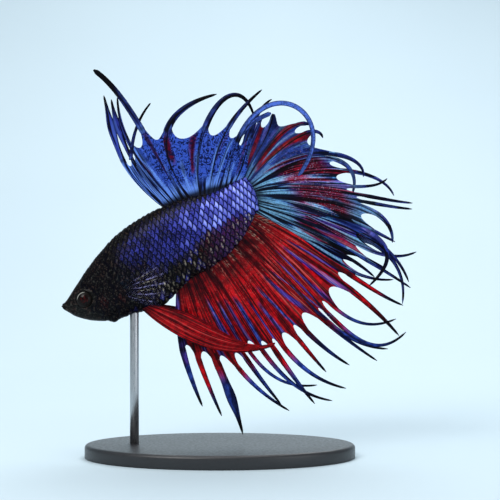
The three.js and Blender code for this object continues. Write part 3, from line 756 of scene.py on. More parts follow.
def clear_material():
    """The glassy pectoral fin: a web one can hardly see, with pale glints along its rays."""
    paint = Paint("clear_fin")
    ray, out, _ = paint.data("lie")
    _, pale, tan = paint.data("tone")
    colour = paint.mix(pale, paint.mix(tan, "smoke", "tan"), "glass")
    fibres = paint.noise((ray * 14.0, out, 0.0), 1.0, 3)
    broken = paint.noise(paint.place(), 1.5, 2).ramp(0.48, 0.62)
    alpha = (pale + tan) * broken * 0.38 + fibres.ramp(0.5, 0.75, 0.02, 0.07)
    return paint.finish(paint.surface(
        colour, fibres.ramp(0.3, 0.7, 0.25, 0.4), 0.12,
        Alpha=alpha, Normal=paint.bump(fibres, 0.2)))


def eye_material():
    """A dark iris round a red-brown pupil; a thin pale arc on its upper front edge is a painted
    highlight.
    """
    paint = Paint("eye")
    x, height, out = paint.data("lie")
    fleck = paint.noise(paint.place(), 2.6, 3)
    iris = paint.mix(fleck.ramp(0.35, 0.65), "iris", "iris_fleck")
    pupil = paint.mix(fleck.ramp(0.4, 0.6), "pupil", "pupil_fleck")
    colour = paint.mix(out.ramp(0.4, 0.5), pupil, iris)
    colour = paint.mix(abs(out - 0.5).ramp(0.06, 0.01, 0.0, 0.7), colour, "eye_ring")
    # A painted highlight: a thin pale arc on the upper front edge of the eye.
    arc = abs(out - 0.83).ramp(0.06, 0.02) * (height - x).ramp(0.72, 1.02, 0.02, 0.75)
    colour = paint.mix(arc, colour, "eye_arc")
    colour = paint.mix(out.ramp(0.88, 0.94), colour, "black")
    return paint.finish(paint.surface(colour, out.ramp(0.35, 0.85, 0.12, 0.5), 0.09, 0.04))


def stand_material():
    """Satin black, with a faint cast grain."""
    paint = Paint("stand")
    grain = paint.noise(paint.place(), 1.6, 4)
    return paint.finish(paint.surface(
        paint.mix(grain, "satin", "satin_grain"), grain.ramp(0.3, 0.7, 0.34, 0.46),
        Normal=paint.bump(grain, 0.15)))


def rod_material():
    """Steel brushed along its length."""
    paint = Paint("rod")
    spot = paint.put("VectorMath", {0: paint.place(), 1: (6, 6, 0.25)}, operation="MULTIPLY")
    brush = paint.noise(spot, 2.0, 3)
    return paint.finish(paint.surface(
        paint.mix(brush, "steel", "steel_light"), brush.ramp(0.3, 0.7, 0.24, 0.4),
        Metallic=1.0))


def stage_material():
    """Pale paper with a slight unevenness."""
    paint = Paint("paper")
    vary = paint.noise(paint.place(1), 6.0, 2)
    return paint.finish(paint.surface(paint.mix(vary, "paper", "paper_light"), 0.95, 0.1))


# ---------------------------------------------------------------- body
def body(share, turn, grow=-COAT_DEPTH, closing=0.0, reach=0.0):
    """Points of the body's surface, from the back at turn 0 round by +Y to the belly at pi.

    A share above 1 runs on over the rounded end of the tail root."""
    over = np.clip(np.asarray(share, float) - 1, 0, None) / TAIL["share"]
    closing = closing + TAIL["closing"] * over
    reach = np.where(over > 0, TAIL["round"] - COAT_DEPTH, reach)
    row = spline(STATIONS, share)
    back, belly = row[..., 0:2], row[..., 2:4]
    half = row[..., 4] + grow
    centre = (back + belly) / 2
    up = back - belly
    long = np.linalg.norm(up, axis=-1)
    up = up / long[..., None]
    shrink = np.cos(closing)
    rise = np.cos(turn) * (long / 2 + grow) * shrink
    ahead = reach * np.sin(closing)
    out = np.sign(np.sin(turn)) * np.abs(np.sin(turn)) ** FULLNESS * half * shrink
    x = centre[..., 0] + up[..., 0] * rise + up[..., 1] * ahead
    z = centre[..., 1] + up[..., 1] * rise - up[..., 0] * ahead
    return join(x, out, z)


def surface_normal(share, turn):
    """The outward direction of the plain body's surface."""
    small = 1e-3
    low, high = np.maximum(share - small, 0), np.minimum(share + small, 1 + TAIL["share"])
    run = body(high, turn) - body(low, turn)
    across = body(share, turn + small) - body(share, turn - small)
    return direction(np.cross(run, across))


def eye_distance(x, z):
    return np.hypot(x - EYE["x"], z - EYE["z"])


def mouth_place(x, z):
    """How far along and above the mouth's slit a point is."""
    along = unit(MOUTH["slope"])
    dx, dz = x - MOUTH["x"], z - MOUTH["z"]
    return dx * along[0] + dz * along[1], dz * along[0] - dx * along[1]


def relief(points, turn):
    """How far the skin's own forms stand out from the plain body."""
    x, z = points[..., 0], points[..., 2]
    side = step(np.abs(np.sin(turn)), 0.1, 0.4)
    eye = eye_distance(x, z)
    along, off = mouth_place(x, z)
    gape = step(along, MOUTH["length"] + 0.5, MOUTH["length"] - 0.7)
    gill = np.hypot((x - GILL["x"]) / GILL["length"], (z - GILL["z"]) / GILL["height"])
    behind = step(x, GILL["x"] - 1.6, GILL["x"] + 1.2)
    # What each ridge is measured from, and where it shows.
    lines = {
        "eye": (eye, side),
        "mouth": (off, gape),
        "nostril": (np.hypot(x - NOSTRIL["x"], z - NOSTRIL["z"]), side),
        "gill edge": (gill, behind * side),
        "gill bone": (gill, side * step(x, GILL["x"] + 1.0, GILL["x"] - 0.6)),
        "keel": (x, step(-np.cos(turn), 0.86, 0.99)),
    }
    high = -EYE["socket"] * (1 - step(eye, 1.6, 1.86)) * side
    high += GILL["lift"] * (1 - step(gill, 0.95, 1.08)) * side * (0.35 + 0.65 * behind)
    for name, at, wide, height in RIDGES:
        distance, shown = lines[name]
        high += height * hump(distance - at, wide) * shown
    lumps = 0.05 * (noise(points, 1.1, 3) - 0.5)
    return high + lumps * step(x, -20, -24)


def patch(name, x, z):
    middle_x, wide, middle_z, tall = PATCHES[name]
    return hump(x - middle_x, wide) * hump(z - middle_z, tall)


def body_marks(share, points):
    """Paint and tone of the body: violet flank, dark head and belly, and pale glints."""
    x, z = points[..., 0], points[..., 2]
    lump = noise(points, 2.4, 1) - 0.5
    fine = noise(points, 0.9, 5)
    strength, top, bottom = (
        np.interp(x, VIOLET["x"], VIOLET[key]) for key in ("strength", "top", "bottom"))
    bottom, top = bottom + 1.6 * lump, top + 0.8 * lump
    fade = 1 + 1.4 * step(x, 0, -8)
    violet = strength * band(z, bottom - fade, bottom + fade, top - 0.6 * fade, top + 0.5 * fade)
    violet = violet * (0.7 + 0.4 * step(noise(points, 3.2, 6), 0.3, 0.6))
    front = 0.2 * step(x, -21, -15) * step(fine, 0.6, 0.85) * step(z, top + 0.8, top)
    violet = np.maximum.reduce([violet, front, 0.1 * step(x, -5, 3)])
    cyan = 0.35 * step(x, 4.5, 8.5) * step(fine, 0.35, 0.7)
    cyan = np.maximum(cyan, 0.01 * patch("gill cyan", x, z))
    lower = step(z, bottom + 0.6, bottom - 1.0) * step(x, -12, -7)
    tan = (0.5 + 0.25 * step(x, -2, 4)) * lower * step(fine, 0.4, 0.7)
    tan = np.maximum(tan, 0.8 * patch("breast tan", x, z) * step(fine, 0.25, 0.55))
    red = 0.09 * patch("gill red", x, z) * step(fine, 0.3, 0.7)
    red = np.maximum(red, 0.05 * patch("cheek red", x, z))
    red = np.maximum(red, 0.08 * lower * step(share, 0.6, 0.85))
    return {"paint": join(red, cyan, violet), "tone": join(0, 0, tan)}


def make_skin():
    """One closed skin for head, jaw, gill covers, trunk and tail root."""
    head = np.linspace(0, SKIN["head"], SKIN["head_rows"])
    rest = np.linspace(SKIN["head"], 1, SKIN["rows"])[1:]
    caps = np.linspace(SKIN["cap_turn"], 0, SKIN["cap_rows"])[:-1]
    shares = np.concatenate([0 * caps, head, rest, 0 * caps + 1])[:, None]
    closing = np.concatenate([caps, 0 * head, 0 * rest, caps[::-1]])[:, None]
    reach = np.where(shares < 0.5, -SNOUT_ROUND + COAT_DEPTH, TAIL["round"] - COAT_DEPTH)
    turn = turns(SKIN["around"])
    plain = body(shares, turn, closing=closing, reach=reach)
    across = np.roll(plain, -1, axis=1) - np.roll(plain, 1, axis=1)
    normal = direction(np.cross(np.gradient(plain, axis=0), across))
    # The skin's forms fade out where its ends close, and its colours under the scales.
    ease = np.clip(2.5 * np.cos(closing), 0, 1)
    skin = plain + normal * (relief(plain, turn) * ease)[..., None]
    marks = body_marks(shares, plain)
    marks["paint"] *= 1 - 0.75 * step(shares, 0.38, 0.5)[..., None]
    places = join(
        np.linspace(0.01, 0.99, len(shares))[:, None],
        np.linspace(0.01, 0.99, SKIN["around"] + 1)[None, :])
    at_poles = [{key: value[row].mean(0) for key, value in marks.items()} for row in (0, -1)]
    shape = Shape()
    shape.barrel(
        skin, (skin[0].mean(0), skin[-1].mean(0)), marks, at_poles,
        places, ((0.004, 0.5), (0.996, 0.5)))
    made = shape.build("skin", skin_material(), mapped=True)
    keep(made, "head_skin", "head", "jaw", "gill_cover_left", "gill_cover_right",
         "trunk_front", "trunk_rear", "tail_peduncle")


# ---------------------------------------------------------------- scales
class Flank:
    """The body's surface measured out: along its side line, and up or down from it."""

    SHARES, TURNS, LEVELS = 728, 420, 521
    PAST = 0.6  # radians past the midlines of back and belly
    REACH = 13  # the farthest that a level stands from the side line

    def __init__(self):
        self.shares = np.linspace(0, 1 + TAIL["share"], self.SHARES)
        spins = np.linspace(-self.PAST, pi + self.PAST, self.TURNS)
        grid = body(self.shares[:, None], spins[None, :])
        girth = measure(grid)
        side = np.argmin(np.abs(spins - pi / 2))
        up = girth[:, [side]] - girth
        self.along = measure(grid[:, side])
        self.crest = up[:, np.argmin(np.abs(spins))]
        self.keel = up[:, np.argmin(np.abs(spins - pi))]
        self.levels = np.linspace(-self.REACH, self.REACH, self.LEVELS)
        self.table = np.array([np.interp(self.levels, row[::-1], spins[::-1]) for row in up])

    def room(self, along, up):
        """How far a place stands below the midline of the back and above that of the belly."""
        above = np.interp(along, self.along, self.crest) - up
        return above, up - np.interp(along, self.along, self.keel)

    def find(self, along, up):
        """Share and turn at a distance along the side line and a height off it."""
        place = np.interp(along, self.along, np.arange(len(self.along)))
        i = np.minimum(place.astype(int), len(self.along) - 2)
        level = (up - self.levels[0]) / (self.levels[1] - self.levels[0])
        level = np.clip(level, 0, self.LEVELS - 1.001)
        j = level.astype(int)
        s, t = place - i, level - j
        table = self.table
        low = table[i, j] * (1 - t) + table[i, j + 1] * t
        high = table[i + 1, j] * (1 - t) + table[i + 1, j + 1] * t
        return np.interp(along, self.along, self.shares), low * (1 - s) + high * s


def scale_roots(flank):
    """Roots and sizes of every scale on one side, in staggered rows, and three chances each."""
    chance = np.random.default_rng(11)
    gill = np.interp(GILL_SHARE, flank.shares, flank.along)
    roots = []
    for size, start, end in (
        (FACE_SIZE, FACE_START, gill - 0.2), (1.0, gill - 1.0, flank.along[-1] + 0.2),
    ):
        gap = SPACING["along"] * size
        for row in range(-SCALE_ROWS, SCALE_ROWS + 1):
            for along in np.arange(start + gap / 2 * (row % 2), end, gap):
                roots.append((along, row * SPACING["up"] * size, size))
    roots = np.array(roots)
    share, turn = flank.find(roots[:, 0], roots[:, 1])
    spot = body(share, turn)
    x, z = spot[:, 0], spot[:, 2]
    above, below = flank.room(roots[:, 0], roots[:, 1])
    bare = (eye_distance(x, z) < BARE["eye"]) | (x < BARE["snout"])
    jaw_line = BARE["line_z"] + BARE["slope"] * (x - BARE["line_x"])
    bare |= (z < jaw_line) & (x < BARE["jaw"])
    edge = 0.3 * roots[:, 2]
    kept = (above > edge) & (below > edge) & ~(bare & (roots[:, 2] < 1))
    roots, share, turn = roots[kept], share[kept], turn[kept]
    return roots, share, turn, chance.random((len(roots), 3))


def scale_forms(flank, roots, chance):
    """Upper and under side of each scale, and its points' places on it, along and up."""
    start, level, size = (roots[:, k, None, None] for k in range(3))
    shift, tilt = (chance[:, k, None, None] for k in (1, 2))
    q, part = SCALE_GRID
    bow = np.sqrt(1 - q**2)
    front, rear = SCALE["ahead"] * bow, SCALE["behind"] * bow**0.9
    along = (front + (rear - front) * part)[None] * size * SPACING["along"]
    up = np.broadcast_to(q * SCALE["half"], along.shape[1:])[None] * size * SPACING["up"]
    place = start + along * (1 + CHANCE["shift"] * (shift - 0.5))
    above, below = flank.room(place, level)
    reach = SCALE["half"] * size * SPACING["up"]
    squeeze = np.clip(np.where(up > 0, above, below) / reach, 0.05, 1)
    at, spin = flank.find(place, level + up * squeeze)
    base = body(at, spin)
    normal = surface_normal(at, spin)
    rise = SCALE["rise"] + CHANCE["tilt"] * tilt
    high = (SCALE["sink"] + rise * part[None] + SCALE["bulge"] * (1 - q**2)) * size**2
    top = base + normal * (high + relief(base, spin))[..., None]
    under = top - normal * (SCALE["thick"] * size)[..., None]
    return top, under, along / size / SPACING["along"], up / size / SPACING["up"]


def make_scales(flank, side, material):
    """The scales of one side as thin closed plates, each raised at its free edge."""
    roots, share, turn, chance = scale_roots(flank)
    top, under, along, up = scale_forms(flank, roots, chance)
    # Scales differ in how strongly they are marked, and less so towards the tail.
    middle = body(share, turn)
    steady = step(middle[:, 0], -12, 0)
    strength = 0.35 + 0.4 * steady + (1.25 - 0.8 * steady) * chance[:, 0]
    carried = {
        key: np.clip(value * strength[:, None], 0, 1)[:, None, None]
        for key, value in body_marks(share, middle).items()
    }
    carried["lie"] = join(along, up, chance[:, 0, None, None])
    mirror = np.array([1, side, 1])
    shape = Shape()
    tops = shape.add(top * mirror, **carried)
    unders = shape.add(under * mirror, **carried)

    # Each scale's small place on the unwrapped skin, along the body and round it.
    wrapped = (turn * side + pi) % (2 * pi) - pi
    centre = join(0.03 + 0.9 * share, 0.5 + 0.47 * wrapped / pi)[:, None, None]
    q, part = SCALE_GRID
    maps = centre + join((part - 0.5) * 0.003, q / 2 * 0.003)[None]
    # The rim's points, once round a scale's grid.
    rows, columns = along.shape[1:]
    rim = [(r, 0) for r in range(rows)] + [(rows - 1, c) for c in range(1, columns)]
    rim += [(r, columns - 1) for r in range(rows - 2, -1, -1)]
    rim += [(0, c) for c in range(columns - 2, -1, -1)]
    r, c = np.array(rim).T
    shape.sheet(tops, maps)
    shape.sheet(unders[..., ::-1], maps[..., ::-1, :])
    shape.sheet(np.stack([tops[:, r, c], unders[:, r, c]], -2), maps[:, None, r, c].repeat(2, 1))
    made = shape.build("scales_right" if side > 0 else "scales_left", material, mapped=True)
    keep(made, "body_scales")


# ---------------------------------------------------------------- fins
class Ray:
    """One fin ray's line: a cubic curve from root to tip, leaning sideways towards the tip."""

    def __init__(self, root, row, offset, swell=(0, 1, 0)):
        x, z, leave, arrive, self.web, self.lean, self.wide, *rest = row
        reach, end_reach, self.tip = (*rest, *USUAL_RAY[len(rest):])
        self.offset, self.swell = offset, swell
        root, tip = np.asarray(root, float), np.array([x, z], float)
        span = np.linalg.norm(tip - root)
        first, second = unit(leave) * span * reach, unit(arrive) * span * end_reach
        t = np.linspace(0, 1, RAY["points"])[:, None]
        self.line = (
            root * (1 - t) ** 3 + (root + first) * 3 * (1 - t) ** 2 * t
            + (tip - second) * 3 * (1 - t) * t * t + tip * t**3)
        run = measure(self.line)
        self.length = run[-1]
        self.shares = run / run[-1]

    def at(self, share):
        x, z = (np.interp(share, self.shares, self.line[:, k]) for k in (0, 1))
        return join(x, self.offset + self.lean * (1 - (1 - share) ** 2), z)

    def across(self, share):
        """The direction square to the ray, in the fin's plane."""
        small = 0.004
        share = np.clip(share, 0, 1)
        run = self.at(np.clip(share + small, 0, 1)) - self.at(np.clip(share - small, 0, 1))
        return direction(join(-run[..., 2], 0, run[..., 0]))

    def half(self, share):
        """Half the width: it grows to the web's edge, then tapers, with a swelling on some."""
        inside = self.wide / 2 * (0.14 + 0.86 * (share / max(self.web, 1e-6)) ** 2)
        free = np.clip((1 - share) / (1 - self.web), 0, 1) ** 0.7
        taper = (self.tip + (self.wide - self.tip) * free) / 2
        half = np.where(share < self.web, inside, taper) * (1 - 0.6 * step(share, 0.975, 1.0))
        at, long, more = self.swell
        return half + more / 2 * hump(share - at, long)


class Masks(dict):
    """How strongly each tint shows on a fin's points; where two meet, the greater counts."""

    def lift(self, name, value):
        self[name] = np.maximum(self[name], value)


def draw_streaks(kind, ray, out, torn):
    """The tints of the streak table; torn makes their edges wander."""
    masks = Masks((name, np.zeros(np.shape(ray))) for name in TINTS)
    for name, rows in STREAKS[kind].items():
        for place, drift, wide, start, end, strength, *repeat in rows:
            stride, last = repeat or (1, place)
            for one in np.arange(place, last + 1e-6, stride):
                lot = noise(np.array([one * 3.7, start * 9, 0.5]), 1.0, 2) - 0.5
                begin, finish = start + 0.1 * lot, end + 0.16 * lot
                run = np.clip((out - start) / (end - start), 0, 1)
                middle = one + drift * run + 0.09 * (torn - 0.5)
                shown = band(out, begin - 0.08, begin + 0.06, finish - 0.1, finish + 0.08)
                shown = shown * step(np.abs(ray - middle) / wide, 1.25, 0.75)
                masks.lift(name, strength * shown)
    return masks


def dorsal_ground(masks, ray, out, fine):
    """Violet edge, the long looped ray as a ribbon, and dark free ends."""
    masks.lift("dark", 0.95 * step(out, 0.17, 0.08))
    masks.lift("violet", 0.5 * step(out, 0.88, 1.1) * (1 - masks["red"]))
    ribbon = step(np.abs(ray - 7.5), 0.85, 0.7) * step(out, 0.96, 1.04)
    masks["violet"] = masks["violet"] * (1 - ribbon)
    masks.lift("violet", (0.4 + 0.5 * step(ray, 7.6, 7.4)) * ribbon)
    masks.lift("pale", 0.4 * ribbon)
    ends = step(out, 1.0, 1.12) * (1 - ribbon)
    early = step(ray, 2.4, 1.6)
    masks.lift("dark", ends * (0.86 - 0.6 * early) * (0.7 + 0.3 * step(fine, 0.7, 0.4)))
    masks.lift("dark", step(out, 1.2 + 0.3 * early, 1.7 + 0.2 * early) * (1 - ribbon))


def caudal_ground(masks, ray, out, fine):
    """Cyan root, maroon band, blue edge and dark patches."""
    coarse = noise(join(ray * 3.3, out * 1.2, 0), 1.0, 21)
    coarser = noise(join(ray * 2.4, out * 0.9, 0), 1.0, 33)
    maroon = band(ray, 5.1, 5.9, 12.6, 14.4) * band(out, 0.26, 0.42, 0.72, 0.9)
    masks.lift("red", 0.92 * maroon * step(coarse, 0.34, 0.5))
    root = step(out, 0.46, 0.06) * step(ray, 5.6, 7.6)
    masks.lift("cyan", root * (0.35 + 0.65 * step(coarser, 0.35, 0.55)))
    upper = step(ray, 5.0, 3.5) * step(out, 0.5, 0.1)
    masks.lift("cyan", 0.3 * upper * step(coarser, 0.4, 0.6))
    masks["red"] *= 1 - 0.9 * masks["cyan"]
    masks.lift("violet", 0.5 * step(out, 1.0, 1.2) * (1 - masks["red"]))
    edge = step(np.abs(ray - 10.6), 2.0, 1.0) * band(out, 0.72, 0.84, 1.0, 1.1)
    masks.lift("blue", edge)
    masks.lift("pale", 0.4 * edge)
    masks["red"] *= 1 - 0.8 * edge
    masks.lift("dark", 0.45 * maroon * step(coarser, 0.44, 0.3))
    masks.lift("dark", 0.9 * hump(ray - 14.6, 0.7) * hump(out - 0.87, 0.1))
    top = 0.85 * step(ray, 4.8, 2.8) * step(coarser, 0.7, 0.42)
    masks.lift("dark", top * (1 - 0.5 * masks["red"]))
    masks.lift("dark", 0.3 * step(ray, 5.4, 4.4) * step(out, 1.0, 0.8))
    masks.lift("dark", step(out, 1.0, 1.15) * (0.35 + 0.3 * step(fine, 0.7, 0.3)))
    masks.lift("dark", step(out, 1.3, 1.85) * (0.55 + 0.45 * step(fine, 0.2, 0.6)))


def anal_ground(masks, ray, out, fine):
    """Red between the violet and blue streaks, rows of tan dots at the root, dark margins."""
    cool = np.maximum(masks["violet"], masks["blue"])
    masks["red"] = (1 - cool) * step(out, 1.3, 1.02)
    for one, end in RED_ENDS.items():
        free = step(np.abs(ray - one), 0.3, 0.2) * band(out, 0.98, 1.04, end - 0.2, end + 0.15)
        masks.lift("red", free)
        cool = cool * (1 - free)
    masks["violet"] *= 1 - masks["red"]
    masks["blue"] *= 1 - masks["red"]
    blue_ends = step(out, 1.0, 1.1) * (1 - masks["red"])
    masks.lift("blue", 0.8 * blue_ends)
    on_ray = step(np.abs((ray + 0.5) % 1 - 0.5), 0.34, 0.16)
    dots = step(np.sin(out * 150 + np.sin(ray * 8) * 4), 0.0, 0.6) * on_ray
    dots = dots * step(fine, 0.3, 0.55) * band(out, 0.0, 0.04, 0.1, 0.3)
    masks["tan"] = 0.85 * dots * step(ray, 4.0, 8.0)
    root = step(out, 0.42, 0.1) * (1 - masks["tan"])
    masks.lift("dark", 0.86 * root * (0.75 + 0.25 * step(fine, 0.6, 0.3)))
    front = step(ray, 3.3, 1.2) * band(out, 0.62, 0.8, 1.0, 1.12)
    masks.lift("dark", 0.92 * front * step(fine, 0.8, 0.4))
    masks.lift("dark", 0.75 * hump(cool - 0.45, 0.25) * band(out, 0.3, 0.45, 1.0, 1.1))
    masks.lift("dark", 0.5 * blue_ends * step(fine, 0.75, 0.4))
    masks.lift("dark", step(out, 1.4, 1.85))


GROUNDS = {"dorsal_fin": dorsal_ground, "caudal_fin": caudal_ground, "anal_fin": anal_ground}


def fin_marks(kind, ray, out, points):
    """What every point of a fin carries: its tints and place, how dark and lit it is, and how
    far a figure of squiggles stands in for the lines along the rays."""
    ray, out = np.broadcast_arrays(ray, out)
    masks = draw_streaks(kind, ray, out, noise(join(ray * 1.6, out * 2.2, 0), 1.0, 7))
    fine = noise(points, 1.2, 4)
    lit, figure = 0, 0
    masks.lift("dark", 0.9 * step(out, 0.16, 0.02) * (0.6 + 0.6 * fine))
    if kind in GROUNDS:
        GROUNDS[kind](masks, ray, out, fine)
        masks.lift("dark", 0.7 * band(out, 0.95, 0.995, 1.01, 1.06))
    if kind == "dorsal_fin":
        figure = band(out, 0.16, 0.34, 0.93, 1.0) * step(ray, 1.6, 2.8)
        figure = figure * (1 - masks["pale"])
        figure = np.maximum(figure, 0.5 * step(out, 1.02, 1.08) * step(ray, 6.4, 6.6))
    elif kind == "caudal_fin":
        figure = 0.55 * step(ray, 5.4, 4.6)
        lit = band(ray, 4.0, 5.5, 12.0, 14.0) * band(out, 0.3, 0.42, 0.7, 0.85)
    elif kind == "anal_fin":
        lit = 0.35 * band(out, 0.1, 0.2, 0.45, 0.6)
    elif kind == "pelvic":
        masks["red"] = 1
        masks["dark"] = 0.55 * step(np.abs(ray - 2), 1.75, 2.0) + 0.8 * step(out, 0.12, 0.0)
    red, cyan, violet, blue, pale, tan, dark = (np.clip(masks[name], 0, 1) for name in TINTS)
    return {
        "paint": join(red, cyan, violet),
        "tone": join(blue, pale, tan),
        "lie": join(ray + RAY_SHIFT, out, 0),
        "cast": join(dark, lit, figure),
    }


def web_edge(q):
    """The web's outer edge between two rays: it dips between them and flares up along each."""
    side = np.abs(2 * q - 1)
    return 1 - SCALLOP * (1 - side**2) + FLARE * side**3.2


def web_form(rays):
    """The web's middle and half thickness, with each point's ray place and share of the way
    out. It is a sheet from the first ray to the last, with ribs and a ripple."""
    last = len(rays) - 1
    place = np.linspace(0, last, last * WEB["columns"] + 1)
    first = np.minimum(place.astype(int), last - 1)
    q = place - first
    part = np.linspace(0, 1, WEB["rows"] + 1)[:, None]
    share = part * web_edge(q)
    points = np.zeros(share.shape + (3,))
    length = np.zeros(share.shape)
    for i, (a, b) in enumerate(zip(rays, rays[1:])):
        mine = first == i
        w, s = q[mine], share[:, mine]
        points[:, mine] = a.at(s * a.web) * (1 - w)[:, None] + b.at(s * b.web) * w[:, None]
        length[:, mine] = s * (a.length * a.web * (1 - w) + b.length * b.web * w)
    sway = np.sin(pi * q) * np.where(first % 2, 1, -1) * (0.5 + 0.5 * np.sin(first * 2.3))
    points[..., 1] += WEB["ripple"] * sway * (0.2 + 0.8 * part) * step(length, 1.0, 4.0)
    points[..., 1] += WEB["lumps"] * (noise(points, 3.0, 9) - 0.5) * step(length, 1.0, 3.0)
    rib = sum(height * hump(q - at, RIB_HALF) for at, height in RIBS.items())
    half = WEB["half"] + WEB["rib"] * rib * (1 - 0.5 * part) + WEB["root"] * np.exp(-length / 1.3)
    half = half * (1 - WEB["thinner"] * part**6)
    return points, half, np.broadcast_to(place, share.shape), share


def add_hems(form, rays, hems):
    """The form with a strip beside each outer ray that has a hem, towards the next fin."""
    columns = np.arange(1, HEM_COLUMNS + 1) / HEM_COLUMNS
    for end, wide, outward in ((0, hems[0], -1), (-1, hems[1], 1)):
        if wide:
            points, half, ray, share = form
            order, line, edge = columns[::outward], rays[end], share[:, [end]]
            reach = wide * order * step(edge, 0.8, 0.4)
            beside = line.at(edge * line.web) + line.across(edge * line.web) * reach[..., None]
            beside[..., 1] += points[:, [end], 1] - line.at(edge * line.web)[..., 1]
            strip = (
                beside, half[:, [end]] * (1 - 0.5 * order),
                ray[:, [end]] + 0.3 * outward * order, edge.repeat(HEM_COLUMNS, 1))
            form = [np.concatenate(pair[::-outward], axis=1) for pair in zip(strip, form)]
    return form


def add_web(shape, kind, rays, hems):
    """The web as a closed form: a near side, a far side and a rim."""
    points, half, ray, share = add_hems(web_form(rays), rays, hems)
    marks = fin_marks(kind, ray, share, points)
    offset = join(0, half, 0)
    near = shape.add(points - offset, **marks)
    far = shape.add(points + offset, **marks)
    u, v = np.linspace(0, 1, share.shape[1]), np.linspace(0, 1, len(share))[:, None]
    near_map, far_map = (join(0.01 + 0.98 * u, low + 0.31 * v) for low in (0.01, 0.34))
    shape.sheet(near, near_map)
    shape.sheet(far, far_map)
    for edge in ((slice(None), 0), (slice(None), -1), (0, slice(None)), (-1, slice(None))):
        shape.sheet(join(near[edge], far[edge]), near_map[edge][:, None].repeat(2, 1))


def add_ray(shape, kind, ray, number, count, thick):
    """A ray and its free end: a flat ribbon with a raised middle."""
    share = np.linspace(0, 1, RAY["rows"] + 1)[:, None]
    turn = turns(RAY["sides"])
    side, lift = np.cos(turn), np.sin(turn)
    centre = ray.at(share)
    points = centre + ray.across(share) * (side * ray.half(share))[..., None]
    ridge = RAY["rim"] + (1 - RAY["rim"]) * hump(side, RAY["middle"])
    points[..., 1] += lift * thick * (1 - RAY["thinner"] * share) * ridge
    beyond = 1 + (share - ray.web) / (1 - ray.web)
    out = np.where(share < ray.web, share / max(ray.web, 1e-6), beyond)
    beside = number + side * 0.1 * step(share, 0.3 * ray.web, ray.web + 1e-6)
    marks = fin_marks(kind, beside, out, points)
    edge = 0.8 * step(np.abs(side), 0.55, 0.98) * step(out, 0.85, 1.1)
    core = 0.7 * step(np.abs(side), 0.75, 0.3) * step(out, 1.1, 0.8)
    marks["cast"][..., 0] = np.maximum.reduce([marks["cast"][..., 0], edge, core])
    marks["lie"][..., 0] = number + RAY_SHIFT + OWN_PLACE + side * 0.08
    u = (number + np.linspace(0.04, 0.96, RAY["sides"] + 1)) / count
    at_poles = [{key: value[row, 0] for key, value in marks.items()} for row in (0, -1)]
    ends = (centre[0, 0], centre[-1, 0])
    shape.barrel(points, ends, marks, at_poles, join(u, 0.68 + 0.3 * share))


def make_fin(node, fin, materials):
    """A fin's web, its rays, and over the dorsal fin the loose ray before them."""
    kind, look, slot, thick, hems = FIN_SKINS[node]
    last = len(fin["rays"]) - 1
    swells = SWELLS.get(kind, {})
    rays = [
        Ray(spline(fin["base"], i / last), row, fin["offset"], swells.get(i, (0, 1, 0)))
        for i, row in enumerate(fin["rays"])
    ]
    shape = Shape()
    add_web(shape, kind, rays, hems)
    if kind == "dorsal_fin":
        rays.append(Ray(STREAMER["root"], STREAMER["ray"], 0))
    for i, ray in enumerate(rays):
        add_ray(shape, kind, ray, i, len(rays), thick)
    keep(shape.build(node + "_skin", materials[look], mapped=True), slot, node)


def mirrored(fin):
    rays = [(*row[:5], -row[5], *row[6:]) for row in fin["rays"]]
    return {"base": fin["base"], "offset": -fin["offset"], "rays": rays}


# ---------------------------------------------------------------- eyes and stand
EYE_ROWS, EYE_SIDES = 41, 64
# Rounding of the base's top edge and of its foot, and the rod's rows along its length.
PLINTH = {"sides": 144, "bevel": 0.8, "bevel_rows": 7, "foot": 0.25, "foot_cut": 0.07}
ROD = {"sides": 48, "sunk": 0.5, "middle": 12, "tip": 0.8, "tip_share": 0.9}


def make_eye(side, material):
    """An eyeball with a slightly domed pupil."""
    down = np.linspace(0, pi, EYE_ROWS)[:, None]
    turn = turns(EYE_SIDES)
    out, deep = np.sin(down), np.cos(down)
    x, z = out * np.cos(turn), out * np.sin(turn)
    dome = 1 + EYE["dome"] * hump(out, EYE["pupil"]) * (deep > 0)
    points = join(
        EYE["x"] + EYE["radius"] * x,
        side * (EYE["y"] + EYE["depth"] * deep * dome),
        EYE["z"] + EYE["radius"] * z)
    lie = join(x, z, np.where(deep > 0, out, 1.0))
    shape = Shape()
    shape.barrel(points[1:-1], (points[0, 0], points[-1, 0]), {"lie": lie[1:-1]},
                 ({"lie": (0, 0, 0)}, {"lie": (0, 0, 1)}))
    name = "right" if side > 0 else "left"
    keep(shape.build("eyeball_" + name, material), "eye", "eye_" + name)


def turned(profile, x, wide, deep, sides):
    """A solid turned from rows of radius share, inset and height, stretched to an oval."""
    radius, inset, height = np.array(profile).T[..., None]
    turn = turns(sides)
    across = (wide * radius - inset) * np.cos(turn)
    points = join(x + across, (deep * radius - inset) * np.sin(turn), height)
    shape = Shape()
    ends = [np.array([x, 0, profile[row][2]]) for row in (0, -1)]
    shape.barrel(points, ends, {}, ({}, {}))
    return shape


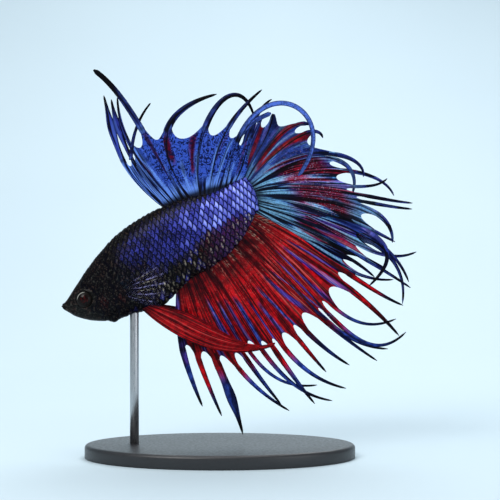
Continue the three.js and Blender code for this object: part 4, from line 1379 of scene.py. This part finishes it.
def make_stand():
    low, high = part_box("stand_base")
    wide, deep, top = high.x / MM, high.y / MM, high.z / MM
    bevel, foot, cut = (PLINTH[key] for key in ("bevel", "foot", "foot_cut"))
    arc = np.radians(np.linspace(0, 90, PLINTH["bevel_rows"]))
    profile = [(1, foot, 0), (1, cut, cut), (1, 0, foot)]
    profile += [(1, bevel * (1 - cos(a)), top - bevel * (1 - sin(a))) for a in arc]
    shape = turned(profile + [(0.5, 0, top)], 0, wide, deep, PLINTH["sides"])
    keep(shape.build("plinth", stand_material()), "stand_base", "stand_base")

    low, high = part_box("stand_rod")
    middle, radius, end = (low.x + high.x) / 2 / MM, (high.x - low.x) / 2 / MM, high.z / MM
    profile = [(1, 0, top - ROD["sunk"]), (1, 0, top + ROD["middle"]), (1, 0, end)]
    profile += [(ROD["tip_share"], 0, end + ROD["tip"])]
    shape = turned(profile, middle, radius, radius, ROD["sides"])
    keep(shape.build("rod", rod_material()), "stand_rod", "stand_rod")


# ---------------------------------------------------------------- floor and light
# The floor's rows: flat ones along Y, steps of the bend, upright ones along Z.
SWEEP = {"flat": (-1200, -300, 150), "radius": 350, "steps": 14, "upright": (900, 1500),
         "side": 1500, "columns": 13, "drop": 0.02}
LIGHTS = [
    # name, place, aimed at, size, power, colour
    ("key", (-260, -420, 420), (0, 0, 48), 260, 2.2, (1.0, 0.99, 0.97)),
    ("fill", (420, -380, 160), (0, 0, 48), 320, 0.6, (0.94, 0.97, 1.0)),
    ("back", (60, 260, 420), (5, 0, 50), 300, 1.6, (0.97, 0.99, 1.0)),
    ("top", (0, -20, 600), (0, 0, 40), 380, 1.3, (1.0, 1.0, 1.0)),
]
SKY = {"colour": (0.86, 0.93, 1.0, 1), "strength": 0.4}


def make_stage():
    """A pale floor that sweeps up into a backdrop."""
    bend, radius = SWEEP["flat"][-1], SWEEP["radius"]
    along = [(y, 0) for y in SWEEP["flat"]]
    for turn in np.linspace(0.1, pi / 2, SWEEP["steps"]):
        along.append((bend + radius * sin(turn), radius * (1 - cos(turn))))
    along += [(bend + radius, z) for z in SWEEP["upright"]]
    y, z = np.array(along).T[..., None]
    x = np.linspace(-SWEEP["side"], SWEEP["side"], SWEEP["columns"])
    shape = Shape()
    shape.sheet(shape.add(join(x, y, z - SWEEP["drop"])))
    floor = shape.build("floor", stage_material())


def make_lights():
    for name, place, aim, size, power, colour in LIGHTS:
        data = bpy.data.lights.new(name, "AREA")
        data.energy = power
        data.size = size * MM
        data.color = colour
        lamp = link(name, data)
        lamp.location = Vector(place) * MM
        lamp.rotation_euler = (Vector(aim) - Vector(place)).to_track_quat("-Z", "Y").to_euler()
    world = bpy.data.worlds.new("studio")
    world.use_nodes = True
    sky = world.node_tree.nodes["Background"].inputs
    sky["Color"].default_value = SKY["colour"]
    sky["Strength"].default_value = SKY["strength"]
    bpy.context.scene.world = world
    bpy.context.scene.view_settings.view_transform = "Standard"


# ---------------------------------------------------------------- the whole
make_stage()
make_lights()
make_skin()
flank, scales = Flank(), scale_material()
for side in (1, -1):
    make_scales(flank, side, scales)
eye = eye_material()
for side in (-1, 1):
    make_eye(side, eye)
materials = {name: fin_material(name) for name in FIN_LOOKS}
materials["clear_fin"] = clear_material()
for node, fin in FINS.items():
    make_fin(node, fin, materials)
make_fin("pectoral_fin_right", mirrored(FINS["pectoral_fin_left"]), materials)
make_stand()
